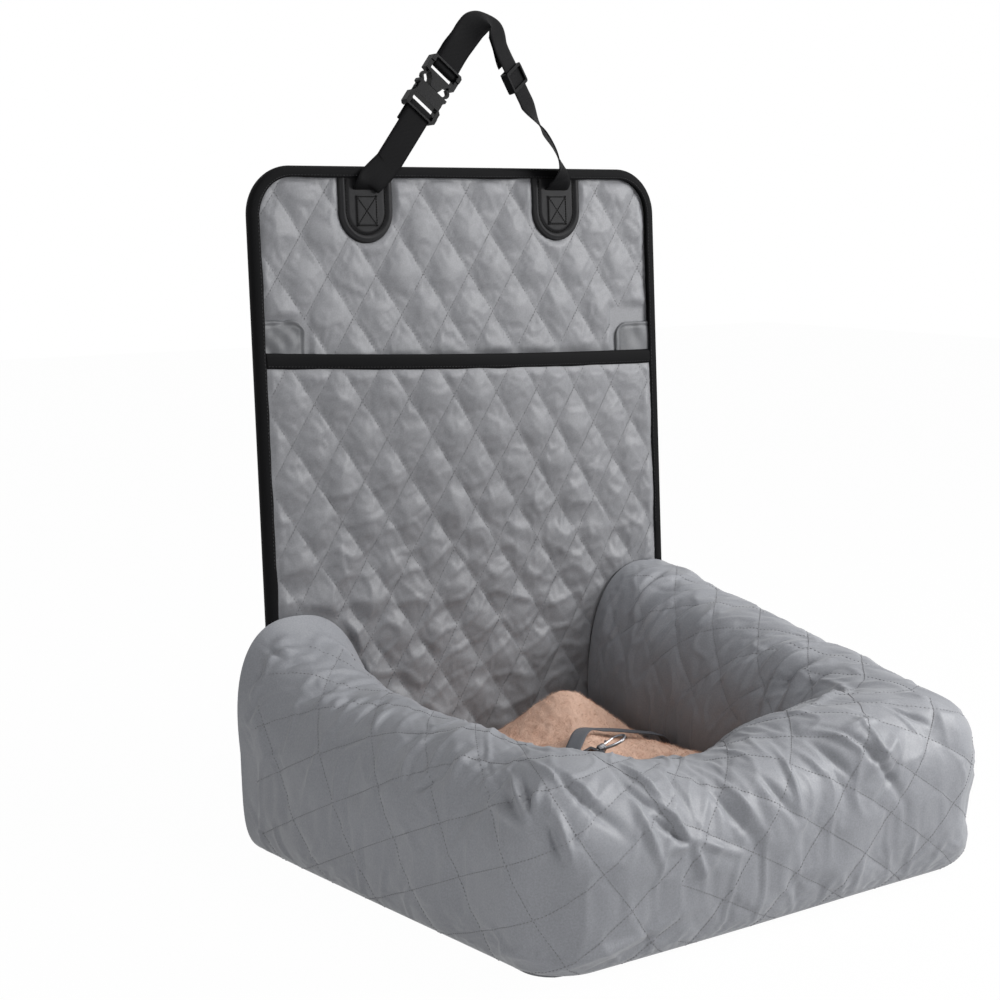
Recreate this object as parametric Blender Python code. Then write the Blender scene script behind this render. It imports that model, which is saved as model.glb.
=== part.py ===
"""Dog car seat: a quilted back panel with a headrest strap, over a stuffed nest with a plush pad.

Metres, +Z up. The origin is the middle of the underside. -Y is the front of the seat and +X is
on the right of someone who faces it. The back panel is written in a plane of its own, which
leans back: X across, Z up along the panel and Y into it. The buckle, the strap slider and the
tether's hook each have such a frame too.
"""

import math

import bmesh
import bpy
import numpy as np
from mathutils import Matrix, Vector

# Clearances
GAP = 0.0003
RUNNING_GAP = 0.0006

# Nest: the stuffed bolsters go round three sides of the floor
NEST_REAR_HALF_WIDTH = 0.288
NEST_FRONT_HALF_WIDTH = 0.263
NEST_FRONT = 0.256
NEST_CORNER_RADIUS = 0.047
FLOOR_HALF_WIDTH = 0.137
FLOOR_FRONT = 0.120
FLOOR_CORNER_RADIUS = 0.034
ARM_BACK_HEIGHT = 0.234
ARM_FRONT_HEIGHT = 0.169
LEFT_ARM_RISE_POWER = 8
RIGHT_ARM_RISE_POWER = 1.1
FRONT_DIP = 0.026
FRONT_DIP_X = -0.060
FRONT_DIP_HALF_WIDTH = 0.200
BOLSTER_PUFF = 0.0022
SECTION_POINTS = 22
ARM_STATIONS = 12
CORNER_STEPS = 2
FRONT_STATIONS = 8
SECTION_ROUND_SHARE = 0.55
SECTION_TOP_ROUND_SHARE = 0.80
SECTION_MIDDLE_SHARE = 0.45
CROWN_SHIFT_SHARE = 0.12

# Base
SHEET_THICKNESS = 0.0015
SHEET_HALF_WIDTH = 0.243
SHEET_FRONT = 0.228
SHEET_CORNER_RADIUS = 0.030
BOARD_THICKNESS = 0.004
BOARD_HALF_WIDTH = 0.142
BOARD_FRONT = 0.124
BOARD_CORNER_RADIUS = 0.025
PAD_FOAM_THICKNESS = 0.012
BASE_TOP = SHEET_THICKNESS + GAP + BOARD_THICKNESS + GAP + PAD_FOAM_THICKNESS

# Plush pad
PLUSH_HALF_WIDTH = 0.126
PLUSH_FRONT = 0.112
PLUSH_BACK = 0.178
PLUSH_CORNER_RADIUS = 0.030
PLUSH_THICKNESS = 0.082
PLUSH_FOLD = 0.009
PLUSH_COLUMNS = 16
PLUSH_ROWS = 18
PLUSH_ROUND_SHARE = 0.30
PLUSH_CROWN_POWER = 4
# Each roll's share of the fold, its waves along X and Y in each half width, and its phase
PLUSH_ROLL_SHARES = ((1.0, 0.5, 1.0, 0.6), (0.5, 0.7692, -0.4615, 1.9))
PLUSH_HILL = 0.028
PLUSH_HILL_X, PLUSH_HILL_Y = 0.045, 0.116
PLUSH_HILL_HALF_WIDTH, PLUSH_HILL_HALF_LENGTH = 0.080, 0.054

# Back panel
PANEL_WIDTH = 0.500
PANEL_HEIGHT = 0.6575
PANEL_SETBACK = 0.1924
PANEL_LEAN = math.radians(3.4)
PANEL_CORNER_RADIUS = 0.048
PANEL_START = 0.004
PANEL_DIAMOND_WIDTH = 0.0606
PANEL_DIAMOND_HEIGHT = 0.0854
PANEL_PUFF = 0.0035
PAD_EDGE_THICKNESS = 0.0030
PAD_FRONT = 0.0010
BACKING_THICKNESS = 0.0010
LAYER_THICKNESS = 0.0022

# Binding tape, folded over the panel's edge
BINDING_WALL = 0.0011
BINDING_REACH = 0.0140
BINDING_BEVEL = 0.0012
ARC_STEPS = 8

# Fold, at the nest's rim
FOLD_HEIGHT = 0.2515
FOLD_BACK = math.radians(20)

# Pocket
POCKET_TOP = 0.4735
POCKET_SAG = 0.005
POCKET_TILT = 0.009
POCKET_BOW = 0.0110
POCKET_BINDING_REACH = 0.0150
POCKET_STATIONS = 32
POCKET_CORNER_HEIGHT = 0.037
POCKET_CORNER_WIDTH = 0.045
POCKET_CORNER_RADIUS = 0.016

# Strap patches
PATCH_OFFSET = 0.1180
PATCH_WIDTH = 0.0600
PATCH_DROP = 0.0740
PATCH_THICKNESS = 0.0014
SLOT_DROP = 0.0230
SLOT_HALF_LENGTH = 0.0152
SLOT_HALF_HEIGHT = 0.0016
SLOT_ROUND_SHARE = 0.5

# Headrest strap
WEBBING_WIDTH = 0.0295
WEBBING_THICKNESS = 0.0015
LAYER_GAP = 0.0020
STRAP_RISE = 0.1715
STRAP_TAIL = 0.0220
STRAP_STRAIGHT = 0.0700
LOOP_STRAIGHT = 0.0350
FOOT_BEND_SHARE = 0.6
STRAP_STATIONS = 19
LOOP_STATIONS = 86
RIGHT_ROOT_ROWS = 25
RETURN_STATIONS = 30
# From the buckle over the peak to the right patch: shares of the patch's offset, of half the
# webbing's width (forwards) and of the strap's rise, then the heading and twist in degrees
STRAP_SHARES = (
    (0.156, 0.00, 0.9685, 40, 30),
    (0.263, 0.00, 1.0000, -5, 50),
    (0.3695, 0.00, 0.9420, -56, 24),
    (0.4260, 0.00, 0.8332, -60.5, 26),
    (0.5390, 0.00, 0.6945, -60.5, 26),
    (0.6593, 0.00, 0.5469, -60.5, 26),
    (0.6900, 0.00, 0.5092, -60.5, 26),
    (0.7585, 0.25, 0.4146, -63, 48),
    (0.8110, 0.60, 0.3388, -62, 65),
    (0.9034, 0.85, 0.2286, -62, 58),
    (0.9600, 0.75, 0.1358, -75, 44),
    (0.9750, 0.55, 0.0904, -84, 28),
    (0.9860, 0.25, 0.0554, -88, 12),
)

# Side-release buckle: distances along its axis from its middle, towards the plug
BUCKLE_CENTRE_X = -0.0362
BUCKLE_CENTRE_HEIGHT = 0.7335
BUCKLE_ANGLE = math.radians(52)
BUCKLE_HALF_LENGTH = 0.0310
BUCKLE_HALF_WIDTH = 0.0200
BUCKLE_THICKNESS = 0.0096
BUCKLE_PLATE = 0.0018
BUCKLE_CORNER = 0.0005
WINDOW_HALF_WIDTH = 0.0155
BAR_HALF = 0.0014
BAR_WIDTH = 0.0022
SOCKET_BAR = -0.0245
SOCKET_CAVITY_END = -0.0130
MOUTH_HEIGHT = 0.0040
PLUG_BAR = 0.0250
PLUG_SHOULDER = 0.0155
PLUG_PLATE = 0.0052
PRONG_WIDTH = 0.0030
PRONG_THICKNESS = 0.0048
PRONG_STATIONS = 17
# Outlines in shares of the half width and the half length
SOCKET_SHARES = [
    (0.88, -1.00), (1.00, -0.93), (1.00, -0.52), (0.84, -0.44), (0.84, -0.13), (0.95, -0.10),
    (0.95, 0.00),
]
PLUG_SHARES = [
    (0.20, -0.30), (0.26, -0.24), (0.26, 0.01), (0.33, 0.10), (0.42, 0.26), (0.62, 0.38),
    (1.00, 0.42), (1.00, 0.93), (0.88, 1.00),
]
PRONG_SHARES = [
    (0.70, 0.350), (0.88, 0.26), (0.89, 0.15), (0.71, 0.02), (0.69, -0.13), (0.80, -0.22),
    (0.80, -0.30), (0.66, -0.36),
]
PRONG_WIDTH_SHARES = ((0, 1.0), (0.5, 0.8), (0.6, 0.8), (0.8, 1.35), (1, 0.6))

# Strap slider
SLIDER_SHARE = 0.6945
SLIDER_WIDTH = 0.0370
SLIDER_HEIGHT = 0.0220
SLIDER_BAR = 0.0032
SLIDER_RAIL = 0.0030
SLIDER_PLATE = 0.0018

# Zip across the panel's foot
ZIP_HEIGHT = 0.0150
ZIP_END_INSET = 0.0220
ZIP_TAPE_HEIGHT = 0.0120
ZIP_TAPE_THICKNESS = 0.0009
ZIP_TOOTH_PITCH = 0.0072
ZIP_TOOTH_HEIGHT = 0.0022
ZIP_TOOTH_DEPTH = 0.0012
ZIP_ROOT_SHARE = 0.4
ZIP_BAIL_HEIGHT = 0.0028
ZIP_BAIL_HALF_GAP = 0.0022
ZIP_SLIDER_LENGTH = 0.0110
ZIP_SLIDER_WIDTH = 0.0090
ZIP_SLIDER_PLATE = 0.0012
ZIP_PULL_LENGTH = 0.0350
ZIP_PULL_WIDTH = 0.0060
ZIP_PULL_THICKNESS = 0.0014

# Tether
TETHER_WIDTH = 0.0150
TETHER_THICKNESS = 0.0016
TETHER_STATIONS = 93
# Places that the webbing passes, and its heading in degrees, in plan from +X
TETHER_ROUTE = (
    (0.1305, 0.0520, 0.0308, 180),
    (0.1305, 0.0520, 0.0500, 180),
    (0.1298, 0.0518, 0.0650, 180),
    (0.1262, 0.0512, 0.0765, 180),
    (0.1180, 0.0505, 0.0840, 180),
    (0.1040, 0.0500, 0.0885, 180),
    (0.0890, 0.0490, 0.0922, 180),
    (0.0650, 0.0530, 0.0970, 175),
    (0.0420, 0.0540, 0.1012, 190),
    (0.0180, 0.0440, 0.1080, 210),
    (-0.0050, 0.0260, 0.1115, 219),
    (-0.0280, 0.0060, 0.1076, 217),
    (-0.0520, -0.0110, 0.0985, 205),
    (-0.0760, -0.0170, 0.0952, 190),
    (-0.0960, -0.0185, 0.0922, 200),
    (-0.1090, -0.0285, 0.0896, 235),
    (-0.1125, -0.0430, 0.0888, 270),
    (-0.1060, -0.0580, 0.0930, 310),
    (-0.0920, -0.0660, 0.0980, 345),
    (-0.0770, -0.0640, 0.1015, 375),
    (-0.0665, -0.0550, 0.1040, 412),
    (-0.0590, -0.0420, 0.1068, 415),
    (-0.0515, -0.0356, 0.1084, 385),
    (-0.0440, -0.0336, 0.1088, 362),
)

# Tether's hook: its eye's bar is at its origin, and it points along its direction
HOOK_ORIGIN = (-0.0405, -0.0334, 0.1096)
HOOK_DIRECTION = (0.961, 0.010, 0.275)
HOOK_LENGTH = 0.0430
HOOK_WIDTH = 0.0130
HOOK_BAR = 0.0032
HOOK_EYE_WIDTH = 0.0220
HOOK_EYE_LENGTH = 0.0105
HOOK_POST_LENGTH = 0.0045
HOOK_POST_RADIUS = 0.0020
HOOK_BARREL_RADIUS = 0.0044
HOOK_STATIONS = 25
HOOK_NECK_SHARE = 0.8
HOOK_GATE_SHARE = 0.62
HOOK_GATE_BAR_SHARE = 0.75
HOOK_SHARES = (
    (-0.35, -0.10), (-0.72, 0.12), (-0.98, 0.40), (-0.94, 0.70), (-0.50, 0.93), (0.10, 1.00),
    (0.72, 0.88), (1.00, 0.66),
)
HOOK_TAPER_SHARES = ((0, 1.0), (0.7, 1.0), (1, 0.75))

COLOURS = {
    "satin_grey": ((0.300, 0.305, 0.322), 0.42, 0.0),
    "panel_grey": ((0.285, 0.290, 0.302), 0.45, 0.0),
    "tab_grey": ((0.160, 0.163, 0.172), 0.55, 0.0),
    "black_tape": ((0.012, 0.012, 0.014), 0.75, 0.0),
    "black_webbing": ((0.010, 0.010, 0.012), 0.70, 0.0),
    "black_plastic": ((0.014, 0.014, 0.016), 0.35, 0.0),
    "grey_leather": ((0.060, 0.060, 0.066), 0.45, 0.0),
    "peach_plush": ((0.640, 0.420, 0.300), 0.95, 0.0),
    "backing_cloth": ((0.030, 0.030, 0.034), 0.85, 0.0),
    "grip_sheet": ((0.020, 0.020, 0.022), 0.90, 0.0),
    "board_plastic": ((0.050, 0.050, 0.055), 0.60, 0.0),
    "foam": ((0.600, 0.600, 0.580), 0.95, 0.0),
    "grey_webbing": ((0.130, 0.135, 0.145), 0.60, 0.0),
    "nickel": ((0.620, 0.610, 0.590), 0.25, 1.0),
}


class Frame:
    """An empty that carries pieces, and the matrix from its coordinates to the world's."""

    def __init__(self, name, matrix, parent=None):
        self.matrix = matrix
        self.empty = bpy.data.objects.new(name, None)
        bpy.context.scene.collection.objects.link(self.empty)
        if parent:
            self.empty.parent = parent.empty
            self.empty.matrix_parent_inverse = parent.matrix.inverted()
        self.empty.matrix_basis = matrix


def clear_scene():
    for obj in list(bpy.data.objects):
        bpy.data.objects.remove(obj, do_unlink=True)


def material(name):
    """A Principled BSDF with the finish of that name."""
    found = bpy.data.materials.get(name)
    if found:
        return found
    colour, roughness, metallic = COLOURS[name]
    made = bpy.data.materials.new(name)
    made.use_nodes = True
    made.diffuse_color = (*colour, 1)
    shader = made.node_tree.nodes["Principled BSDF"]
    shader.inputs["Base Color"].default_value = (*colour, 1)
    shader.inputs["Roughness"].default_value = roughness
    shader.inputs["Metallic"].default_value = metallic
    return made


def add_piece(name, points, faces, finish, frame, carrier=None, pivot=(0, 0, 0)):
    """One object. Its points are in the frame's coordinates, and its origin is at pivot there."""
    mesh = bpy.data.meshes.new(name)
    mesh.from_pydata([Vector(p) - Vector(pivot) for p in points], [], faces)
    shape = bmesh.new()
    shape.from_mesh(mesh)
    bmesh.ops.recalc_face_normals(shape, faces=shape.faces)
    shape.to_mesh(mesh)
    shape.free()
    mesh.shade_smooth()
    mesh.set_sharp_from_angle(angle=math.radians(35))
    mesh.materials.append(material(finish))
    obj = bpy.data.objects.new(name, mesh)
    bpy.context.scene.collection.objects.link(obj)
    carrier = carrier or frame
    obj.parent = carrier.empty
    obj.matrix_parent_inverse = carrier.matrix.inverted()
    obj.matrix_basis = frame.matrix @ Matrix.Translation(pivot)
    return obj


def arc(centre, radius, start, end, steps):
    """Points of a circle's arc in a plane, with both its ends; angles in radians."""
    return [
        (centre[0] + radius * math.cos(a), centre[1] + radius * math.sin(a))
        for a in np.linspace(start, end, steps + 1)
    ]


def rounded_rectangle(left, right, bottom, top, radius, steps=4):
    quarter = math.pi / 2
    points = []
    corners = ((right, top), (left, top), (left, bottom), (right, bottom))
    for turn, (x, z) in enumerate(corners):
        centre = (
            x - math.copysign(radius, x - (left + right) / 2),
            z - math.copysign(radius, z - (bottom + top) / 2),
        )
        points += arc(centre, radius, turn * quarter, (turn + 1) * quarter, steps)
    return points


def fill(loops):
    """The flat region inside the first loop and outside the others, as points and triangles."""
    shape = bmesh.new()
    for loop in loops:
        corners = [shape.verts.new((x, z, 0)) for x, z in loop]
        for a, b in zip(corners, corners[1:] + corners[:1]):
            shape.edges.new((a, b))
    bmesh.ops.triangle_fill(shape, use_beauty=True, use_dissolve=False, edges=shape.edges[:])
    shape.verts.index_update()
    points = [(v.co.x, v.co.y) for v in shape.verts]
    faces = [[v.index for v in f.verts] for f in shape.faces]
    shape.free()
    return points, faces


def slab(loops, front, back):
    """A flat plate with holes: the loops' region in X and Z, from Y = front to Y = back."""
    flat, faces = fill(loops)
    count = len(flat)
    points = [(x, front, z) for x, z in flat] + [(x, back, z) for x, z in flat]
    result = [list(f) for f in faces] + [[i + count for i in reversed(f)] for f in faces]
    start = 0
    for loop in loops:
        for k in range(len(loop)):
            a, b = start + k, start + (k + 1) % len(loop)
            result.append([a, b, b + count, a + count])
        start += len(loop)
    return points, result


def swept(rings, closed_path=False):
    """A skin through rings of as many points each; the two ends are capped."""
    size = len(rings[0])
    points = [p for ring in rings for p in ring]
    faces = []
    last = len(rings) - (0 if closed_path else 1)
    for i in range(last):
        a, b = i * size, ((i + 1) % len(rings)) * size
        for k in range(size):
            n = (k + 1) % size
            faces.append([a + k, a + n, b + n, b + k])
    if not closed_path:
        faces.append(list(range(size)))
        faces.append([len(points) - size + k for k in reversed(range(size))])
    return points, faces


def smooth_line(points, count):
    """A smooth curve through rows of numbers, as count rows, as many between each two of them.

    The rows' first columns, up to three, are places, and the curve's speed follows their spacing.
    """
    rows = np.array(points, float)
    gaps = np.sqrt(np.linalg.norm(np.diff(rows[:, :3], axis=0), axis=1))
    slopes = np.diff(rows, axis=0) / gaps[:, None]
    before, after = gaps[:-1, None], gaps[1:, None]
    inner = (slopes[:-1] * after + slopes[1:] * before) / (before + after)
    tangents = np.vstack([slopes[:1], inner, slopes[-1:]])
    result = []
    for t in np.linspace(0, len(rows) - 1, count):
        i = min(int(t), len(rows) - 2)
        f, span = t - i, gaps[i]
        result.append(
            rows[i] * (1 + 2 * f) * (1 - f) ** 2 + tangents[i] * span * f * (1 - f) ** 2
            + rows[i + 1] * f**2 * (3 - 2 * f) + tangents[i + 1] * span * f**2 * (f - 1)
        )
    return np.array(result)


def ribbon(path, across, width, thickness):
    """Flat webbing along a path, with its width along the vectors across."""
    path = np.array(path, float)
    across = np.array(across, float)
    along = np.gradient(path, axis=0)
    along /= np.linalg.norm(along, axis=1)[:, None]
    across = across - (across * along).sum(1)[:, None] * along
    across /= np.linalg.norm(across, axis=1)[:, None]
    out = np.cross(along, across)
    rings = []
    for p, w, n in zip(path, across, out):
        rings.append([
            tuple(p + w * width / 2 + n * thickness / 2),
            tuple(p - w * width / 2 + n * thickness / 2),
            tuple(p - w * width / 2 - n * thickness / 2),
            tuple(p + w * width / 2 - n * thickness / 2),
        ])
    return swept(rings)


def smooth_step(value):
    value = min(max(value, 0.0), 1.0)
    return value * value * (3 - 2 * value)


def diamond_height(x, z, width, height):
    """0 on the quilting's stitch lines and 1 in the middle of each diamond."""
    u = x / width + z / height
    v = x / width - z / height
    return (abs(u - round(u)) * abs(v - round(v)) * 4) ** 0.6


# Depths of the panel's layers, in the panel's own plane
PAD_BACK = PAD_EDGE_THICKNESS - PAD_FRONT
BACKING_FRONT = PAD_BACK + GAP
BACKING_BACK = BACKING_FRONT + BACKING_THICKNESS
PATCH_BACK = -PAD_FRONT - GAP
PATCH_FRONT = PATCH_BACK - PATCH_THICKNESS
LAYER_BACK = -PAD_FRONT - BINDING_WALL - 2 * GAP
LAYER_FRONT = LAYER_BACK - LAYER_THICKNESS
CHANNEL_FRONT = LAYER_FRONT - GAP
CHANNEL_BACK = BACKING_BACK + GAP
BINDING_FRONT = CHANNEL_FRONT - BINDING_WALL
BINDING_BACK = CHANNEL_BACK + BINDING_WALL
EDGE_INSET = BINDING_WALL + GAP
OVERRUN = 0.002
HALF_PANEL = PANEL_WIDTH / 2
INNER_EDGE = HALF_PANEL - BINDING_REACH
ZIP_HALF_LENGTH = HALF_PANEL - ZIP_END_INSET
FOLD_DEPTH = BINDING_FRONT

# Depths of the strap and of what it passes through
STRAP_DEPTH = BINDING_FRONT - GAP - WEBBING_THICKNESS / 2
WRAP_RADIUS = BAR_HALF * math.sqrt(2) + GAP + WEBBING_THICKNESS / 2
BUCKLE_DEPTH = STRAP_DEPTH + WRAP_RADIUS
SLIDER_BAR_DEPTH = WEBBING_THICKNESS * 3 / 2 + 2 * GAP
SLIDER_RETURN = SLIDER_BAR_DEPTH + SLIDER_PLATE + GAP + WEBBING_THICKNESS / 2


def lower_top(depth):
    """Where the lower panel ends: its edge slopes away, so that the upper one can lean back."""
    return FOLD_HEIGHT - GAP - (depth - FOLD_DEPTH) * math.tan(FOLD_BACK)


def pocket_top(x):
    """The pocket's upper edge: it sags in the middle, and its left end hangs higher."""
    share = x / HALF_PANEL
    return POCKET_TOP - POCKET_SAG * (1 - share**2) - POCKET_TILT * share / 2


def pocket_bow(x, z):
    """How far the pocket's layer stands off the panel."""
    across = (1 - min(abs(x) / (INNER_EDGE - PANEL_DIAMOND_WIDTH / 4), 1.0) ** 2) ** 2
    up = smooth_step((z - FOLD_HEIGHT) / (POCKET_TOP - FOLD_HEIGHT))
    return POCKET_BOW * across * up


def panel_outline(inset, bottom):
    """The upper panel's outline: square at the fold and rounded at the top."""
    half = HALF_PANEL - inset
    top = PANEL_HEIGHT - inset
    radius = PANEL_CORNER_RADIUS - inset
    quarter = math.pi / 2
    return (
        [(-half, bottom), (half, bottom)]
        + arc((half - radius, top - radius), radius, 0, quarter, ARC_STEPS)
        + arc((radius - half, top - radius), radius, quarter, 2 * quarter, ARC_STEPS)
    )


def quilted(outline, columns, rows, puff, front, back):
    """A padded layer over an outline: a grid of puffs in front and the same grid, flat, behind.

    columns and rows are whole quarter diamonds, first and last. puff, front and back take a
    point's place: puff is how far it stands proud, and front and back are its depths.
    """
    i0, i1 = columns
    j0, j1 = rows
    step_x, step_z = PANEL_DIAMOND_WIDTH / 4, PANEL_DIAMOND_HEIGHT / 4
    grid, places, faces = {}, [], []
    for j in range(j0, j1 + 1):
        for i in range(i0, i1 + 1):
            grid[i, j] = len(places)
            rim = i in (i0, i1) or j in (j0, j1)
            places.append((i * step_x, j * step_z, 0 if rim else puff(i * step_x, j * step_z)))
    for j in range(j0, j1):
        for i in range(i0, i1):
            a, b = grid[i, j], grid[i + 1, j]
            c, d = grid[i + 1, j + 1], grid[i, j + 1]
            rising = (i - j) % 4 == 0 or ((i + j + 1) % 4 != 0 and (i - j) % 2 == 0)
            faces += [[a, b, c], [a, c, d]] if rising else [[a, b, d], [b, c, d]]
    border = (
        [(i, j0) for i in range(i0, i1)]
        + [(i1, j) for j in range(j0, j1)]
        + [(i, j1) for i in range(i1, i0, -1)]
        + [(i0, j) for j in range(j1, j0, -1)]
    )
    flat, around = fill([outline, [(i * step_x, j * step_z) for i, j in border]])
    first_edge = len(places)
    places += [(x, z, 0) for x, z in flat[: len(outline)]]
    index = list(range(first_edge, len(places))) + [grid[cell] for cell in border]
    faces += [[index[i] for i in f] for f in around]
    count = len(places)
    points = [(x, front(x, z) - p, z) for x, z, p in places]
    points += [(x, back(x, z), z) for x, z, _ in places]
    faces += [[i + count for i in reversed(f)] for f in faces]
    for k in range(len(outline)):
        a, b = first_edge + k, first_edge + (k + 1) % len(outline)
        faces.append([a, b, b + count, a + count])
    return points, faces


def sloped_top(shape):
    """A lower panel piece with its top edge cut back for the fold."""
    points, faces = shape
    return [(x, y, min(z, lower_top(y))) for x, y, z in points], faces


def level(depth):
    return lambda x, z: depth


def panel_face(depth, height):
    """World Y of a depth in the panel, at a height above the ground."""
    return PANEL_SETBACK + depth / math.cos(PANEL_LEAN) + height * math.tan(PANEL_LEAN)


# Back panel


def upper_puff(x, z):
    """Flat under the pocket, its tabs and the strap patches."""
    step_x, step_z = PANEL_DIAMOND_WIDTH / 4, PANEL_DIAMOND_HEIGHT / 4
    beside = abs(abs(x) - PATCH_OFFSET) > PATCH_WIDTH / 2 + step_x
    below = z < PANEL_HEIGHT - PATCH_DROP - step_z
    under_tab = (
        z < POCKET_TOP + POCKET_CORNER_HEIGHT + step_z
        and abs(x) > INNER_EDGE - POCKET_CORNER_WIDTH - step_x
    )
    if not (beside or below) or under_tab or z < POCKET_TOP + PANEL_PUFF:
        return 0
    return PANEL_PUFF * diamond_height(x, z, PANEL_DIAMOND_WIDTH, PANEL_DIAMOND_HEIGHT)


def pocket_puff(x, z):
    rising = smooth_step((POCKET_TOP - z) / PANEL_DIAMOND_HEIGHT)
    return PANEL_PUFF * diamond_height(x, z, PANEL_DIAMOND_WIDTH, PANEL_DIAMOND_HEIGHT) * rising


def lower_puff(x, z):
    """Flat where the bolsters' ends stand against it."""
    if abs(x) > FLOOR_HALF_WIDTH - PANEL_DIAMOND_WIDTH / 4:
        return 0
    return PANEL_PUFF * diamond_height(x, z, PANEL_DIAMOND_WIDTH, PANEL_DIAMOND_HEIGHT)


def binding(stations, layer_front, layer_back):
    """Tape folded over an edge: a channel's section at each station (x, z, inward x, inward z)."""
    outer_front, outer_back = layer_front - GAP - BINDING_WALL, layer_back + GAP + BINDING_WALL
    section = [
        (BINDING_REACH, outer_front),
        (BINDING_BEVEL, outer_front),
        (0, outer_front + BINDING_BEVEL),
        (0, outer_back - BINDING_BEVEL),
        (BINDING_BEVEL, outer_back),
        (BINDING_REACH, outer_back),
        (BINDING_REACH, layer_back + GAP),
        (BINDING_WALL, layer_back + GAP),
        (BINDING_WALL, layer_front - GAP),
        (BINDING_REACH, layer_front - GAP),
    ]
    return swept([
        [(x + inward_x * d, y, z + inward_z * d) for d, y in section]
        for x, z, inward_x, inward_z in stations
    ])


def make_upper_panel(panel, fold):
    reach = int((HALF_PANEL - PANEL_CORNER_RADIUS / 2) / (PANEL_DIAMOND_WIDTH / 4))
    step_z = PANEL_DIAMOND_HEIGHT / 4
    outline = panel_outline(EDGE_INSET, FOLD_HEIGHT)
    pad = quilted(
        outline,
        (-reach, reach),
        (int(POCKET_TOP / step_z) - 1, int((PANEL_HEIGHT - BINDING_REACH) / step_z)),
        upper_puff, level(-PAD_FRONT), level(PAD_BACK),
    )
    pivot = (0, FOLD_DEPTH, FOLD_HEIGHT)
    add_piece("panel_upper_pad", *pad, "panel_grey", panel, fold, pivot)
    backing = slab([outline], BACKING_FRONT, BACKING_BACK)
    add_piece("panel_upper_backing", *backing, "backing_cloth", panel, fold, pivot)

    half, top, radius = HALF_PANEL, PANEL_HEIGHT, PANEL_CORNER_RADIUS
    quarter = math.pi / 2
    stations = [(half, FOLD_HEIGHT, -1, 0)]
    for side, start in ((1, 0), (-1, quarter)):
        for a in np.linspace(start, start + quarter, ARC_STEPS + 1):
            x, z = math.cos(a), math.sin(a)
            stations.append((side * (half - radius) + radius * x, top - radius + radius * z, -x, -z))
    stations.append((-half, FOLD_HEIGHT, 1, 0))
    tape = binding(stations, LAYER_FRONT, BACKING_BACK)
    add_piece("panel_upper_binding", *tape, "black_tape", panel, fold, pivot)


def make_lower_panel(panel):
    half, inner = HALF_PANEL - EDGE_INSET, FLOOR_HALF_WIDTH
    outline = [
        (-half, PANEL_START), (half, PANEL_START), (half, FOLD_HEIGHT), (-half, FOLD_HEIGHT)
    ]
    pad = sloped_top(slab([outline], -PAD_FRONT, PAD_BACK))
    add_piece("panel_lower_pad", *pad, "panel_grey", panel)
    backing = sloped_top(slab([outline], BACKING_FRONT, BACKING_BACK))
    add_piece("panel_lower_backing", *backing, "backing_cloth", panel)
    step_x, step_z = PANEL_DIAMOND_WIDTH / 4, PANEL_DIAMOND_HEIGHT / 4
    reach = int(inner / step_x)
    rows = (int(BASE_TOP / step_z) + 1, int((FOLD_HEIGHT - BINDING_REACH) / step_z))
    foot = quilted(
        outline, (-reach, reach), rows, lower_puff, level(LAYER_FRONT), level(-PAD_FRONT - GAP)
    )
    add_piece("pocket_foot", *sloped_top(foot), "panel_grey", panel)
    for side, name in ((-1, "left"), (1, "right")):
        stations = [
            (side * HALF_PANEL, z, -side, 0) for z in (PANEL_START, FOLD_HEIGHT)
        ]
        tape = sloped_top(binding(stations, LAYER_FRONT, BACKING_BACK))
        add_piece(f"panel_lower_binding_{name}", *tape, "black_tape", panel)


def make_pocket(panel, fold):
    """The layer, bowed away from the panel, its taped mouth, and a tab above each end."""
    pivot = (0, FOLD_DEPTH, FOLD_HEIGHT)
    half = HALF_PANEL - EDGE_INSET
    mouth = [
        (x, pocket_top(x) - EDGE_INSET) for x in np.linspace(half, -half, POCKET_STATIONS + 1)
    ]
    outline = [(-half, FOLD_HEIGHT), (half, FOLD_HEIGHT)] + mouth
    step_x, step_z = PANEL_DIAMOND_WIDTH / 4, PANEL_DIAMOND_HEIGHT / 4
    reach = int(INNER_EDGE / step_x)
    rows = (int(FOLD_HEIGHT / step_z) + 1, int((POCKET_TOP - 2 * BINDING_REACH) / step_z) + 1)
    layer = quilted(
        outline, (-reach, reach), rows, pocket_puff,
        lambda x, z: LAYER_FRONT - pocket_bow(x, z),
        lambda x, z: LAYER_BACK - pocket_bow(x, z),
    )
    add_piece("pocket_front", *layer, "panel_grey", panel, fold, pivot)

    end = INNER_EDGE - GAP
    tape = binding(
        [(x, pocket_top(x), 0, -1) for x in np.linspace(-end, end, POCKET_STATIONS + 1)],
        LAYER_FRONT, LAYER_BACK,
    )
    points = [(x, y - pocket_bow(x, z), z) for x, y, z in tape[0]]
    add_piece("pocket_binding", points, tape[1], "black_tape", panel, fold, pivot)

    for side, name in ((-1, "left"), (1, "right")):
        inner = side * (INNER_EDGE - POCKET_CORNER_WIDTH)
        top = pocket_top(side * INNER_EDGE) + POCKET_CORNER_HEIGHT
        radius = POCKET_CORNER_RADIUS
        centre = (inner + side * radius, top - radius)
        curve = [
            (centre[0] - side * radius * math.cos(a), centre[1] + radius * math.sin(a))
            for a in np.linspace(0, math.pi / 2, ARC_STEPS + 1)
        ]
        foot = [(x, pocket_top(x) + GAP) for x in (side * half, inner)]
        tab = slab([foot + curve + [(side * half, top)]], PATCH_FRONT, PATCH_BACK)
        add_piece(f"pocket_tab_{name}", *tab, "tab_grey", panel, fold, pivot)


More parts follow.
